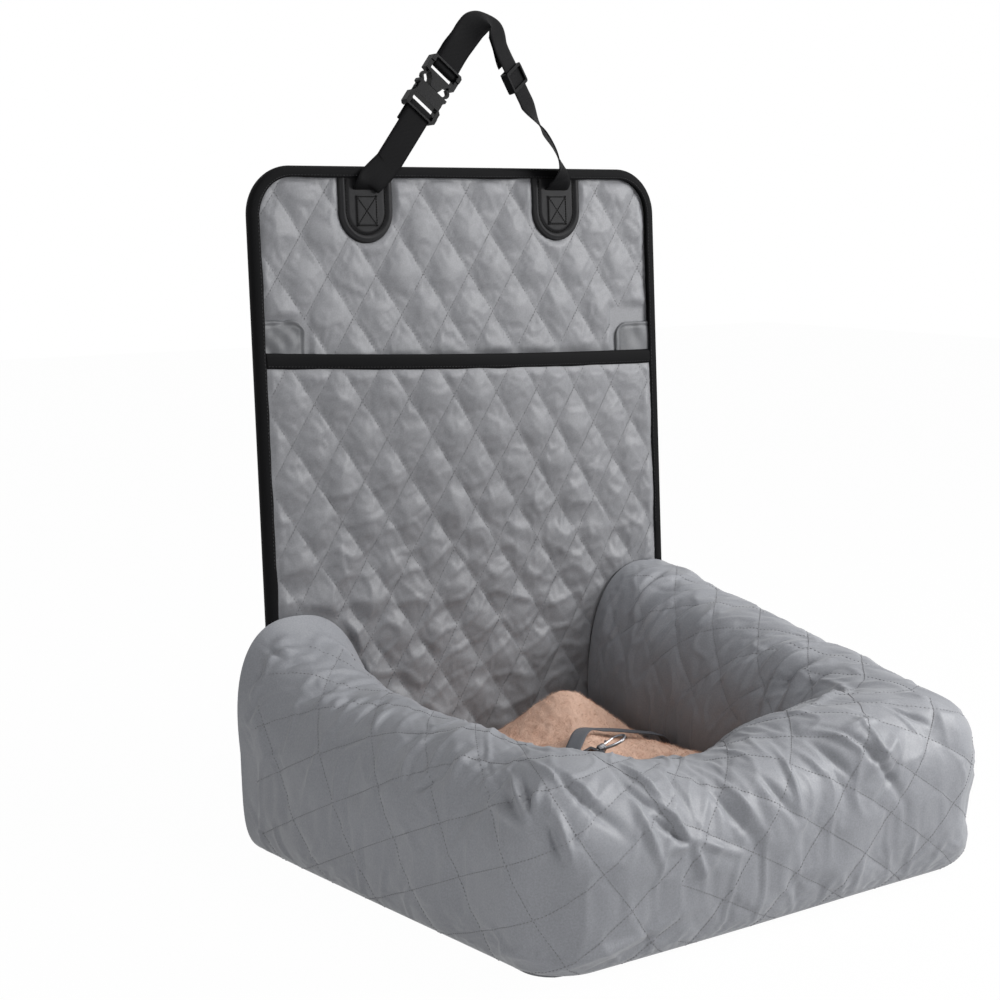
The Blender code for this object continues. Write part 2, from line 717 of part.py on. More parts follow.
def make_patches(panel, fold):
    """Leather patches that end in a half circle, with a slot that the strap comes out of."""
    half, top = PATCH_WIDTH / 2, PANEL_HEIGHT - EDGE_INSET
    bottom = PANEL_HEIGHT - PATCH_DROP + half
    slot = PANEL_HEIGHT - SLOT_DROP
    for side, name in ((-1, "left"), (1, "right")):
        x = side * PATCH_OFFSET
        outline = [(x + half, top), (x - half, top)]
        outline += arc((x, bottom), half, math.pi, 2 * math.pi, 2 * ARC_STEPS)
        hole = rounded_rectangle(
            x - SLOT_HALF_LENGTH, x + SLOT_HALF_LENGTH,
            slot - SLOT_HALF_HEIGHT, slot + SLOT_HALF_HEIGHT, SLOT_HALF_HEIGHT * SLOT_ROUND_SHARE,
        )
        patch = slab([outline, hole], PATCH_FRONT, PATCH_BACK)
        add_piece(f"strap_patch_{name}", *patch, "grey_leather", panel, fold,
                  (0, FOLD_DEPTH, FOLD_HEIGHT))


# Headrest strap


def strap(rows, count):
    """Webbing through rows of x, depth, z, heading and twist, both in degrees.

    The heading is the way it runs in the panel's plane, from +X. The twist turns its inner edge
    forwards.
    """
    line = smooth_line(rows, count)
    heading, twist = np.radians(line[:, 3]), np.radians(line[:, 4])
    across = np.stack([
        np.cos(twist) * np.sin(heading), -np.sin(twist), -np.cos(twist) * np.cos(heading)
    ], axis=1)
    return line[:, :3], across


def on_buckle(distance, depth):
    """A point on the buckle's axis, a distance up from its middle, at a depth of the panel."""
    return (
        BUCKLE_CENTRE_X + distance * math.cos(BUCKLE_ANGLE),
        depth,
        BUCKLE_CENTRE_HEIGHT + distance * math.sin(BUCKLE_ANGLE),
    )


def wrap(bar, direction, tail):
    """The turn round a buckle's bar and the tail behind it: distances and depths."""
    turn = [
        (bar + direction * WRAP_RADIUS * math.sin(a), BUCKLE_DEPTH - WRAP_RADIUS * math.cos(a))
        for a in np.linspace(0, math.pi, ARC_STEPS + 1)
    ]
    return turn + [(bar - direction * tail, BUCKLE_DEPTH + WRAP_RADIUS)]


def strap_rows_from_foot(side):
    """The two ends start alike: out of the patch's slot, then up in front of the binding."""
    x, slot = side * PATCH_OFFSET, PANEL_HEIGHT - SLOT_DROP
    foot_depth = PATCH_FRONT - GAP - WEBBING_THICKNESS / 2
    return [
        (x, -PAD_FRONT - 2 * GAP, slot, 90, 0),
        (x, foot_depth, slot + WEBBING_THICKNESS * FOOT_BEND_SHARE, 90, 0),
        (x, STRAP_DEPTH, slot + WEBBING_THICKNESS * 3, 90, 0),
    ]


def make_left_strap(panel, fold):
    start = on_buckle(SOCKET_BAR - STRAP_STRAIGHT, STRAP_DEPTH)
    rows = strap_rows_from_foot(-1) + [(*start, math.degrees(BUCKLE_ANGLE), 0)]
    path, across = strap(rows, STRAP_STATIONS)
    tail = [on_buckle(*place) for place in wrap(SOCKET_BAR, 1, STRAP_TAIL)]
    path = np.vstack([path, tail])
    across = np.vstack([across, np.repeat(across[-1:], len(tail), axis=0)])
    add_piece("strap_left", *ribbon(path, across, WEBBING_WIDTH, WEBBING_THICKNESS),
              "black_webbing", panel, fold, (0, FOLD_DEPTH, FOLD_HEIGHT))


def make_right_root(panel, fold):
    """The right end of the long strap, up to the top of the panel."""
    line, across = right_leg()
    count = len(line) - RIGHT_ROOT_ROWS
    path, widths = line[count - 1 :][::-1].copy(), across[count - 1 :][::-1].copy()
    path[-1] += (path[-2] - path[-1]) / np.linalg.norm(path[-2] - path[-1]) * GAP
    add_piece("strap_right_root", *ribbon(path, widths, WEBBING_WIDTH, WEBBING_THICKNESS),
              "black_webbing", panel, fold, (0, FOLD_DEPTH, FOLD_HEIGHT))


def right_leg():
    """The loop's main layer from the plug over the peak and down to the right patch's slot."""
    degrees = math.degrees(BUCKLE_ANGLE)
    slot = PANEL_HEIGHT - SLOT_DROP
    rows = [
        (*on_buckle(PLUG_BAR, STRAP_DEPTH), degrees, 0),
        (*on_buckle(PLUG_BAR + LOOP_STRAIGHT, STRAP_DEPTH), degrees, 0),
    ]
    for x_share, depth_share, z_share, heading, twist in STRAP_SHARES:
        rows.append((
            x_share * PATCH_OFFSET,
            STRAP_DEPTH - depth_share * WEBBING_WIDTH / 2,
            slot + z_share * STRAP_RISE, heading, twist,
        ))
    rows += [
        (x, y, z, heading - 180, 0) for x, y, z, heading, _ in strap_rows_from_foot(1)[::-1]
    ]
    return strap(rows, LOOP_STATIONS)


def make_headrest_strap(panel, loop):
    """The long strap: up from the right patch, over, round the plug's bar, and back inside."""
    line, across = right_leg()
    count = len(line) - RIGHT_ROOT_ROWS
    main, widths = line[:count], across[:count]
    along = np.gradient(main, axis=0)
    along /= np.linalg.norm(along, axis=1)[:, None]
    inward = np.cross(widths, along)
    inward /= np.linalg.norm(inward, axis=1)[:, None]
    inward *= np.sign((inward * np.array([0, 1, 0])).sum(1))[:, None]
    length = np.concatenate([[0], np.cumsum(np.linalg.norm(np.diff(main, axis=0), axis=1))])
    to_slider = np.linalg.norm(main - np.array(slider_place()[0]), axis=1).argmin()
    last = length[to_slider] - SLIDER_HEIGHT / 2 - RUNNING_GAP
    back = []
    for distance in np.linspace(STRAP_TAIL, last, RETURN_STATIONS):
        near_plug = 1 - smooth_step((distance - STRAP_TAIL) / STRAP_TAIL)
        near_slider = smooth_step((distance - last) / STRAP_TAIL + 1)
        offset = LAYER_GAP + (2 * WRAP_RADIUS - LAYER_GAP) * near_plug
        offset += (SLIDER_RETURN - LAYER_GAP) * near_slider
        place = [np.interp(distance, length, main[:, k]) for k in range(3)]
        normal = [np.interp(distance, length, inward[:, k]) for k in range(3)]
        width = [np.interp(distance, length, widths[:, k]) for k in range(3)]
        back.append((np.array(place) + offset * np.array(normal), width))
    turn = [on_buckle(*place) for place in wrap(PLUG_BAR, -1, 0)[1:-1]]
    path = np.vstack([main[::-1], turn, [p for p, _ in back]])
    across = np.vstack([
        widths[::-1], np.repeat(widths[:1], len(turn), axis=0), [w for _, w in back]
    ])
    add_piece("headrest_strap", *ribbon(path, across, WEBBING_WIDTH, WEBBING_THICKNESS),
              "black_webbing", panel, loop)


def slider_place():
    """The slider's middle on the main layer, and the strap's directions there."""
    line, across = right_leg()
    level_z = PANEL_HEIGHT - SLOT_DROP + SLIDER_SHARE * STRAP_RISE
    falling = [i for i in range(1, len(line)) if line[i, 2] < level_z <= line[i - 1, 2]]
    i = falling[-1]
    up = Vector(line[i - 1] - line[i]).normalized()
    x_axis = Vector(-across[i])
    x_axis = (x_axis - up * x_axis.dot(up)).normalized()
    y_axis = up.cross(x_axis)
    if y_axis.y < 0:
        x_axis, y_axis = -x_axis, -y_axis
    return line[i], x_axis, y_axis, up


def cut(obj, name, frame, box):
    """Takes a box (x, y and z, lowest and highest) out of a piece, in the frame's coordinates."""
    x, y, z = ((box[2 * k], box[2 * k + 1]) for k in range(3))
    corners = [(a, b, c) for a in x for b in y for c in z]
    faces = [[0, 1, 3, 2], [4, 6, 7, 5], [0, 4, 5, 1], [2, 3, 7, 6], [0, 2, 6, 4], [1, 5, 7, 3]]
    cutter = add_piece(f"{obj.name}_cut_{name}", corners, faces, "black_plastic", frame)
    cutter.hide_render = True
    cutter.display_type = "WIRE"
    modifier = obj.modifiers.new(name, "BOOLEAN")
    modifier.operation = "DIFFERENCE"
    modifier.solver = "EXACT"
    modifier.object = cutter


def mirrored(half_outline):
    """The right half of an outline, from bottom to top, and its mirror image."""
    return half_outline + [(-x, z) for x, z in reversed(half_outline)]


def scaled(shares, width, length):
    return [(x * width, z * length) for x, z in shares]


def make_buckle_half(name, shares, window, bar, frame, carrier):
    """A half of the buckle: its outline with a window, and a bar and a front lip for the strap.

    window is the lower and upper end of the window between the bar and the half's body, and bar
    is the bar's place along the axis. The strap passes behind the lip and turns round the bar.
    """
    outline = mirrored(scaled(shares, BUCKLE_HALF_WIDTH, BUCKLE_HALF_LENGTH))
    half = WINDOW_HALF_WIDTH
    lip_back = -WRAP_RADIUS - WEBBING_THICKNESS / 2 - GAP
    away = math.copysign(1, bar)
    lip = away * (BUCKLE_HALF_LENGTH - BAR_WIDTH)
    bar_edge = bar + away * BAR_HALF
    holes = [
        rounded_rectangle(-half, half, *sorted(ends), BUCKLE_CORNER, 2)
        for ends in (window, (lip, bar_edge))
    ]
    plate = slab([outline, *holes], lip_back - BUCKLE_PLATE, BUCKLE_THICKNESS / 2)
    piece = add_piece(name, *plate, "black_plastic", frame, carrier, (0, 0, bar))
    far, reach = BUCKLE_HALF_LENGTH + OVERRUN, half - GAP
    past = sorted((bar_edge + away * BUCKLE_CORNER, away * far))
    cut(piece, "past_bar", frame, (-reach, reach, lip_back, far, *past))
    ends = (bar - BAR_HALF - BUCKLE_CORNER, bar + BAR_HALF + BUCKLE_CORNER)
    cut(piece, "before_bar", frame, (-reach, reach, -far, -BAR_HALF, *ends))
    cut(piece, "behind_bar", frame, (-reach, reach, BAR_HALF, far, *ends))
    inner_end = bar - away * (BAR_HALF + BUCKLE_CORNER)
    cut(piece, "face", frame,
        (-far, far, -far, -BUCKLE_THICKNESS / 2, *sorted((inner_end, -away * far))))
    return piece


def make_socket(buckle, fold):
    window = (SOCKET_BAR + BAR_HALF, SOCKET_CAVITY_END - BUCKLE_PLATE)
    socket = make_buckle_half("buckle_socket", SOCKET_SHARES, window, SOCKET_BAR, buckle, fold)
    half, far = WINDOW_HALF_WIDTH, BUCKLE_HALF_LENGTH + OVERRUN
    cavity = PLUG_PLATE / 2 + GAP
    cut(socket, "cavity", buckle, (-half, half, -cavity, cavity, SOCKET_CAVITY_END, far))
    slit = PRONG_THICKNESS / 2 + GAP
    cut(socket, "side_windows", buckle,
        (-far, far, -slit, slit, SOCKET_CAVITY_END + BUCKLE_CORNER, -MOUTH_HEIGHT))


def make_plug(buckle, loop):
    window = (PLUG_SHOULDER, PLUG_BAR - BAR_HALF)
    plug = make_buckle_half("buckle_plug", PLUG_SHARES, window, PLUG_BAR, buckle, loop)
    far, half = BUCKLE_HALF_LENGTH + OVERRUN, PLUG_PLATE / 2
    cut(plug, "tongue_front", buckle, (-far, far, -far, -half, -far, GAP))
    cut(plug, "tongue_back", buckle, (-far, far, half, far, -far, GAP))


def make_prongs(buckle, loop):
    """Two springy arms whose pads look out of the socket's sides; squeezed, they let go."""
    for side, name in ((-1, "left"), (1, "right")):
        path = smooth_line(scaled(PRONG_SHARES, BUCKLE_HALF_WIDTH, BUCKLE_HALF_LENGTH),
                           PRONG_STATIONS)
        along = np.gradient(path, axis=0)
        along /= np.linalg.norm(along, axis=1)[:, None]
        half = PRONG_WIDTH / 2 * np.interp(
            np.linspace(0, 1, len(path)), *zip(*PRONG_WIDTH_SHARES)
        )
        offset = np.stack([-along[:, 1], along[:, 0]], axis=1) * half[:, None]
        right, left = path - offset, path + offset
        outline = [(side * x, z) for x, z in [*right, *left[::-1]]]
        root_x, root_z = path[0]
        arm = slab([outline], -PRONG_THICKNESS / 2, PRONG_THICKNESS / 2)
        add_piece(f"buckle_prong_{name}", *arm, "black_plastic", buckle, loop,
                  (side * root_x, 0, root_z))


def make_slider(slider_frame, loop):
    """A three-bar buckle: bars in front of the strap's two edges, and one behind its middle."""
    half_x, half_z = SLIDER_WIDTH / 2, SLIDER_HEIGHT / 2
    window = half_x - SLIDER_RAIL
    clear = WEBBING_THICKNESS / 2 + GAP
    front = -clear - SLIDER_PLATE
    back = SLIDER_BAR_DEPTH + SLIDER_PLATE
    outline = rounded_rectangle(-half_x, half_x, -half_z, half_z, SLIDER_RAIL, 3)
    slider = add_piece("strap_slider", *slab([outline], front, back), "black_plastic",
                       slider_frame)
    far = half_x + OVERRUN
    open_z = half_z - SLIDER_BAR
    bar = SLIDER_BAR / 2
    inner = window - GAP / 2
    cut(slider, "front_window", slider_frame, (-inner, inner, -far, 0, -open_z, open_z))
    cut(slider, "passage", slider_frame, (-window, window, -clear, SLIDER_BAR_DEPTH, -far, far))
    for name, low, high in (("above", bar, far), ("below", -far, -bar)):
        cut(slider, name, slider_frame, (-inner, inner, 0, far, low, high))
    return slider


def make_slider_loop(slider_frame):
    """The strap's sewn end, turned round the slider's middle bar."""
    radius = SLIDER_PLATE / 2 + GAP + WEBBING_THICKNESS / 2
    centre = SLIDER_BAR_DEPTH + SLIDER_PLATE / 2
    low = -SLIDER_BAR / 2
    places = [(centre - radius, SLIDER_HEIGHT / 2 - SLIDER_BAR)]
    places += [
        (centre - radius * math.cos(a), low - radius * math.sin(a))
        for a in np.linspace(0, math.pi, ARC_STEPS + 1)
    ]
    places.append((centre + radius, SLIDER_HEIGHT / 2))
    path = [(0, y, z) for y, z in places]
    width = min(WEBBING_WIDTH, SLIDER_WIDTH - 2 * SLIDER_RAIL - 2 * GAP)
    add_piece("strap_end_loop", *ribbon(path, [(1, 0, 0)] * len(path), width, WEBBING_THICKNESS),
              "black_webbing", slider_frame)


# Zip


def make_zip(panel):
    front = BACKING_BACK + GAP
    back = front + ZIP_TAPE_THICKNESS
    half_height = ZIP_TAPE_HEIGHT / 2
    outline = [
        (x, ZIP_HEIGHT + z) for x, z in (
            (-ZIP_HALF_LENGTH, -half_height), (ZIP_HALF_LENGTH, -half_height),
            (ZIP_HALF_LENGTH, half_height), (-ZIP_HALF_LENGTH, half_height),
        )
    ]
    add_piece("zip_tape", *slab([outline], front, back), "black_webbing", panel)

    count = int((ZIP_HALF_LENGTH - ZIP_TOOTH_PITCH) / ZIP_TOOTH_PITCH)
    tall, low = ZIP_TOOTH_HEIGHT / 2, ZIP_TOOTH_HEIGHT / 2 * ZIP_ROOT_SHARE
    upper = []
    for k in range(-count, count + 1):
        x = k * ZIP_TOOTH_PITCH
        quarter = ZIP_TOOTH_PITCH / 4
        upper += [(x - quarter, low), (x - quarter, tall), (x + quarter, tall), (x + quarter, low)]
    row = [(x, ZIP_HEIGHT + z) for x, z in upper]
    row += [(x, ZIP_HEIGHT - z) for x, z in reversed(upper)]
    teeth_front = back + GAP
    teeth = slab([row], teeth_front, teeth_front + ZIP_TOOTH_DEPTH)
    add_piece("zip_teeth", *teeth, "nickel", panel)

    start = ZIP_SLIDER_LENGTH / 2 - ZIP_HALF_LENGTH
    place = Matrix.Translation((start, teeth_front + ZIP_TOOTH_DEPTH + RUNNING_GAP, ZIP_HEIGHT))
    zip_frame = Frame("zip_slider_frame", panel.matrix @ place, panel)
    half_length, half_width = ZIP_SLIDER_LENGTH / 2, ZIP_SLIDER_WIDTH / 2
    lip = tall + RUNNING_GAP
    lower = GAP - RUNNING_GAP - ZIP_TOOTH_DEPTH
    section = [
        (lower, -half_width), (lower, -lip), (0, -lip), (0, lip), (lower, lip),
        (lower, half_width), (ZIP_SLIDER_PLATE, half_width), (ZIP_SLIDER_PLATE, -half_width),
    ]
    body = swept([[(x, y, z) for y, z in section] for x in (-half_length, half_length)])
    roof = ZIP_SLIDER_PLATE + ZIP_BAIL_HEIGHT
    bar = ZIP_PULL_THICKNESS / 2
    inner, outer = ZIP_BAIL_HALF_GAP, ZIP_BAIL_HALF_GAP + ZIP_SLIDER_PLATE
    sink = ZIP_SLIDER_PLATE / 2
    bail = [
        (-outer, sink), (-inner, sink), (-inner, roof), (inner, roof), (inner, sink),
        (outer, sink), (outer, roof + ZIP_SLIDER_PLATE), (-outer, roof + ZIP_SLIDER_PLATE),
    ]
    slider = add_piece("zip_slider", *body, "nickel", zip_frame)
    arch = swept([[(x, y, z) for x, y in bail] for z in (-bar, bar)])
    helper = add_piece("zip_slider_arch", *arch, "nickel", zip_frame)
    helper.hide_render = True
    helper.display_type = "WIRE"
    modifier = slider.modifiers.new("arch", "BOOLEAN")
    modifier.operation = "UNION"
    modifier.solver = "EXACT"
    modifier.object = helper

    axis_depth = ZIP_SLIDER_PLATE + RUNNING_GAP + bar
    pull_frame = Frame("zip_pull_axis",
                       zip_frame.matrix @ Matrix.Translation((0, axis_depth, 0)), zip_frame)
    half = ZIP_PULL_WIDTH / 2
    outline = rounded_rectangle(-ZIP_PULL_LENGTH, bar, -half, half, bar, 3)
    eye = rounded_rectangle(-2 * outer - bar, -bar, -2 * bar - RUNNING_GAP,
                            2 * bar + RUNNING_GAP, bar / 2, 2)
    add_piece("zip_pull", *slab([outline, eye], -bar, bar), "nickel", pull_frame)


# Nest


def section_height(x, y):
    """The bolsters' height: each arm rises towards the panel, and the front one sags."""
    start = -(FLOOR_FRONT + NEST_FRONT) / 2
    share = max(0.0, (y - start) / (PANEL_SETBACK - start))
    rise = share ** (LEFT_ARM_RISE_POWER if x < 0 else RIGHT_ARM_RISE_POWER)
    reach = min(1.0, abs(x - FRONT_DIP_X) / FRONT_DIP_HALF_WIDTH)
    dip = FRONT_DIP * (1 - reach**2) ** 2 if y < -FLOOR_FRONT else 0
    return ARM_FRONT_HEIGHT + (ARM_BACK_HEIGHT - ARM_FRONT_HEIGHT) * rise - dip


def bolster_stations():
    """Pairs of plan points, inner and outer, from the left arm's back end round to the right's."""
    back = PANEL_SETBACK
    inner_corner = FLOOR_HALF_WIDTH - FLOOR_CORNER_RADIUS
    outer_corner = NEST_FRONT_HALF_WIDTH - NEST_CORNER_RADIUS
    inner_turn, outer_turn = FLOOR_CORNER_RADIUS - FLOOR_FRONT, NEST_CORNER_RADIUS - NEST_FRONT
    arm, corner, front = [], [], []
    for t in np.linspace(0, 1, ARM_STATIONS + 1)[:-1]:
        y_inner = back + (inner_turn - back) * t
        y_outer = back + (outer_turn - back) * t
        half = NEST_REAR_HALF_WIDTH + (NEST_FRONT_HALF_WIDTH - NEST_REAR_HALF_WIDTH) * t
        arm.append(((FLOOR_HALF_WIDTH, y_inner), (half, y_outer)))
    for a in np.linspace(0, math.pi / 2, 2 * CORNER_STEPS + 1):
        corner.append((
            (inner_corner + FLOOR_CORNER_RADIUS * math.cos(a),
             inner_turn - FLOOR_CORNER_RADIUS * math.sin(a)),
            (outer_corner + NEST_CORNER_RADIUS * math.cos(a),
             outer_turn - NEST_CORNER_RADIUS * math.sin(a)),
        ))
    for t in np.linspace(0, 1, FRONT_STATIONS + 1)[1:]:
        front.append((
            (inner_corner * (1 - t), -FLOOR_FRONT), (outer_corner * (1 - t), -NEST_FRONT)
        ))
    right = arm + corner + front
    left = [((-a, b), (-c, d)) for (a, b), (c, d) in right]
    return left + right[-2::-1], len(arm) + CORNER_STEPS


def bolster_ring(index, inner, outer, height, lean):
    """A stuffed section between two plan points, flat below, puffed where the quilting puffs."""
    ring = []
    (x0, y0), (x1, y1) = inner, outer
    base = SHEET_THICKNESS + GAP
    middle = height * SECTION_MIDDLE_SHARE
    for k in range(SECTION_POINTS):
        a = 2 * math.pi * (k + 0.5) / SECTION_POINTS
        cos, sin = math.cos(a), math.sin(a)
        power = SECTION_TOP_ROUND_SHARE if sin > 0 else SECTION_ROUND_SHARE
        u = math.copysign(abs(cos) ** power, cos)
        v = math.copysign(abs(sin) ** power, sin)
        z = middle + v * (height - middle if v > 0 else middle)
        u += CROWN_SHIFT_SHARE * max(0.0, v)
        puff = BOLSTER_PUFF * ((index + k) % 2) * (1 if u > -CROWN_SHIFT_SHARE else 0)
        share = (1 + u) / 2
        width = math.hypot(x1 - x0, y1 - y0)
        share += puff * cos / width
        x = x0 + (x1 - x0) * share
        y = y0 + (y1 - y0) * share + lean * z
        ring.append((x, y, max(base, z + puff * sin)))
    return ring


def make_bolsters(world):
    stations, mitre = bolster_stations()
    turn_y = NEST_CORNER_RADIUS - NEST_FRONT
    rings, directions = [], []
    last = len(stations) - 1
    for i, (inner, outer) in enumerate(stations):
        y = (inner[1] + outer[1]) / 2
        share = max(0.0, (y - turn_y) / (PANEL_SETBACK - turn_y))
        lean = math.tan(PANEL_LEAN) * share**4
        ring = bolster_ring(i, inner, outer, section_height(outer[0], y), lean)
        if i in (0, last):
            ring = [
                (x, panel_face(BINDING_FRONT - GAP, z), z) for x, _, z in ring
            ]
        rings.append(ring)
        across = np.subtract(outer, inner)
        directions.append(np.array([-across[1], across[0]]) / np.linalg.norm(across))
    parts = (
        ("left", 0, mitre), ("front", mitre, last - mitre), ("right", last - mitre, last)
    )
    for name, first, end in parts:
        piece = [list(ring) for ring in rings[first : end + 1]]
        for k, sign in ((0, 1), (-1, -1)):
            i = first if k == 0 else end
            if i in (0, last):
                continue
            step = directions[i] * sign * GAP / 2
            ahead = np.subtract(rings[i + sign][0][:2], rings[i][0][:2])
            step = step if np.dot(ahead, step) > 0 else -step
            piece[k] = [(x + step[0], y + step[1], z) for x, y, z in piece[k]]
        add_piece(f"bolster_{name}", *swept(piece), "satin_grey", world)


def flat_pad(name, half_width, front, back, radius, bottom, thickness, finish, world):
    """A level plate with rounded front corners."""
    outline = rounded_rectangle(-half_width, half_width, -front, back, radius, 4)
    points, faces = slab([outline], bottom, bottom + thickness)
    add_piece(name, [(x, y, z) for x, z, y in points], faces, finish, world)


def make_base(world):
    back = panel_face(LAYER_FRONT - GAP, 0)
    flat_pad("underside_sheet", SHEET_HALF_WIDTH, SHEET_FRONT, back, SHEET_CORNER_RADIUS,
             0, SHEET_THICKNESS, "grip_sheet", world)
    bottom = SHEET_THICKNESS + GAP
    flat_pad("floor_board", BOARD_HALF_WIDTH, BOARD_FRONT, back, BOARD_CORNER_RADIUS,
             bottom, BOARD_THICKNESS, "board_plastic", world)
    flat_pad("floor_foam", BOARD_HALF_WIDTH, BOARD_FRONT, back, BOARD_CORNER_RADIUS,
             bottom + BOARD_THICKNESS + GAP, PAD_FOAM_THICKNESS, "foam", world)


def plush_height(x, y):
    """The plush pad's top: a crown with drawn-down sides, soft rolls, and a hill at the back."""
    middle = (PLUSH_BACK - PLUSH_FRONT) / 2
    half_length = (PLUSH_BACK + PLUSH_FRONT) / 2
    u = min(abs(x / PLUSH_HALF_WIDTH), 1.0)
    v = min(abs((y - middle) / half_length), 1.0)
    crown = ((1 - u**PLUSH_CROWN_POWER) * (1 - v**PLUSH_CROWN_POWER)) ** PLUSH_ROUND_SHARE
    roll = sum(
        share * math.sin(2 * math.pi * (x * waves_x + y * waves_y) / PLUSH_HALF_WIDTH + phase)
        for share, waves_x, waves_y, phase in PLUSH_ROLL_SHARES
    ) / sum(row[0] for row in PLUSH_ROLL_SHARES)
    across = min(abs(x - PLUSH_HILL_X) / PLUSH_HILL_HALF_WIDTH, 1.0)
    along = min(abs(y - PLUSH_HILL_Y) / PLUSH_HILL_HALF_LENGTH, 1.0)
    hill = (math.cos(across * math.pi / 2) * math.cos(along * math.pi / 2)) ** 2
    top = PLUSH_THICKNESS * crown + PLUSH_FOLD * crown**2 * roll + PLUSH_HILL * crown * hill
    return BASE_TOP + GAP + top


def make_plush(world):
    """A grid of the top, pulled in to rounded corners in plan, over a flat underside."""
    rows = []
    middle = (PLUSH_BACK - PLUSH_FRONT) / 2
    half_length = (PLUSH_BACK + PLUSH_FRONT) / 2
    for j in range(PLUSH_ROWS + 1):
        row = []
        for i in range(PLUSH_COLUMNS + 1):
            u = math.sin((i / PLUSH_COLUMNS - 0.5) * math.pi)
            v = math.sin((j / PLUSH_ROWS - 0.5) * math.pi)
            pull = 1 - (PLUSH_CORNER_RADIUS / half_length) * (u * v) ** PLUSH_CROWN_POWER
            x, y = u * PLUSH_HALF_WIDTH, middle + v * half_length
            z = plush_height(x, y)
            row.append((x * pull, middle + (y - middle) * pull, z))
        rows.append(row)
    size = PLUSH_COLUMNS + 1
    points = [p for row in rows for p in row]
    faces = [
        [j * size + i, j * size + i + 1, (j + 1) * size + i + 1, (j + 1) * size + i]
        for j in range(PLUSH_ROWS) for i in range(PLUSH_COLUMNS)
    ]
    border = (
        list(range(size))
        + [j * size + size - 1 for j in range(1, PLUSH_ROWS + 1)]
        + [PLUSH_ROWS * size + i for i in range(PLUSH_COLUMNS - 1, -1, -1)]
        + [j * size for j in range(PLUSH_ROWS - 1, 0, -1)]
    )
    faces.append(border[::-1])
    add_piece("plush_pad", points, faces, "peach_plush", world)


# Tether


def make_tether(world):
    """Webbing from its anchor up beside the plush pad, over it, and round to the hook."""
    line = smooth_line(TETHER_ROUTE, TETHER_STATIONS)
    heading = np.radians(line[:, 3])
    across = np.stack([np.sin(heading), -np.cos(heading), 0 * heading], axis=1)
    add_piece("tether_webbing",
              *ribbon(line[:, :3], across, TETHER_WIDTH, TETHER_THICKNESS),
              "grey_webbing", world)
    x, y, z, _ = TETHER_ROUTE[0]
    half, height = TETHER_WIDTH / 2, z - GAP - BASE_TOP - GAP
    outline = rounded_rectangle(y - half, y + half, BASE_TOP + GAP, BASE_TOP + GAP + height,
                                TETHER_THICKNESS, 2)
    points, faces = slab([outline], x - TETHER_THICKNESS, x + TETHER_THICKNESS)
    add_piece("tether_anchor", [(a, b, c) for b, a, c in points], faces, "grey_webbing", world)


def tube(path, radii, sides=10, closed_path=False):
    """A round bar along a path in the XZ plane, with a radius at each of its points."""
    path = np.array(path, float)
    if closed_path:
        along = np.roll(path, -1, axis=0) - np.roll(path, 1, axis=0)
    else:
        along = np.gradient(path, axis=0)
    along /= np.linalg.norm(along, axis=1)[:, None]
    rings = []
    for (x, z), (tx, tz), radius in zip(path, along, radii):
        rings.append([
            (x - tz * radius * math.cos(a), radius * math.sin(a), z + tx * radius * math.cos(a))
            for a in np.linspace(0, 2 * math.pi, sides, endpoint=False)
        ])
    return swept(rings, closed_path)


def add_helper(obj, name, shape, frame, operation):
    """Joins a closed shape to a piece, or cuts it out."""
    helper = add_piece(f"{obj.name}_{name}", *shape, "nickel", frame)
    helper.hide_render = True
    helper.display_type = "WIRE"
    modifier = obj.modifiers.new(name, "BOOLEAN")
    modifier.operation = operation
    modifier.solver = "EXACT"
    modifier.object = helper


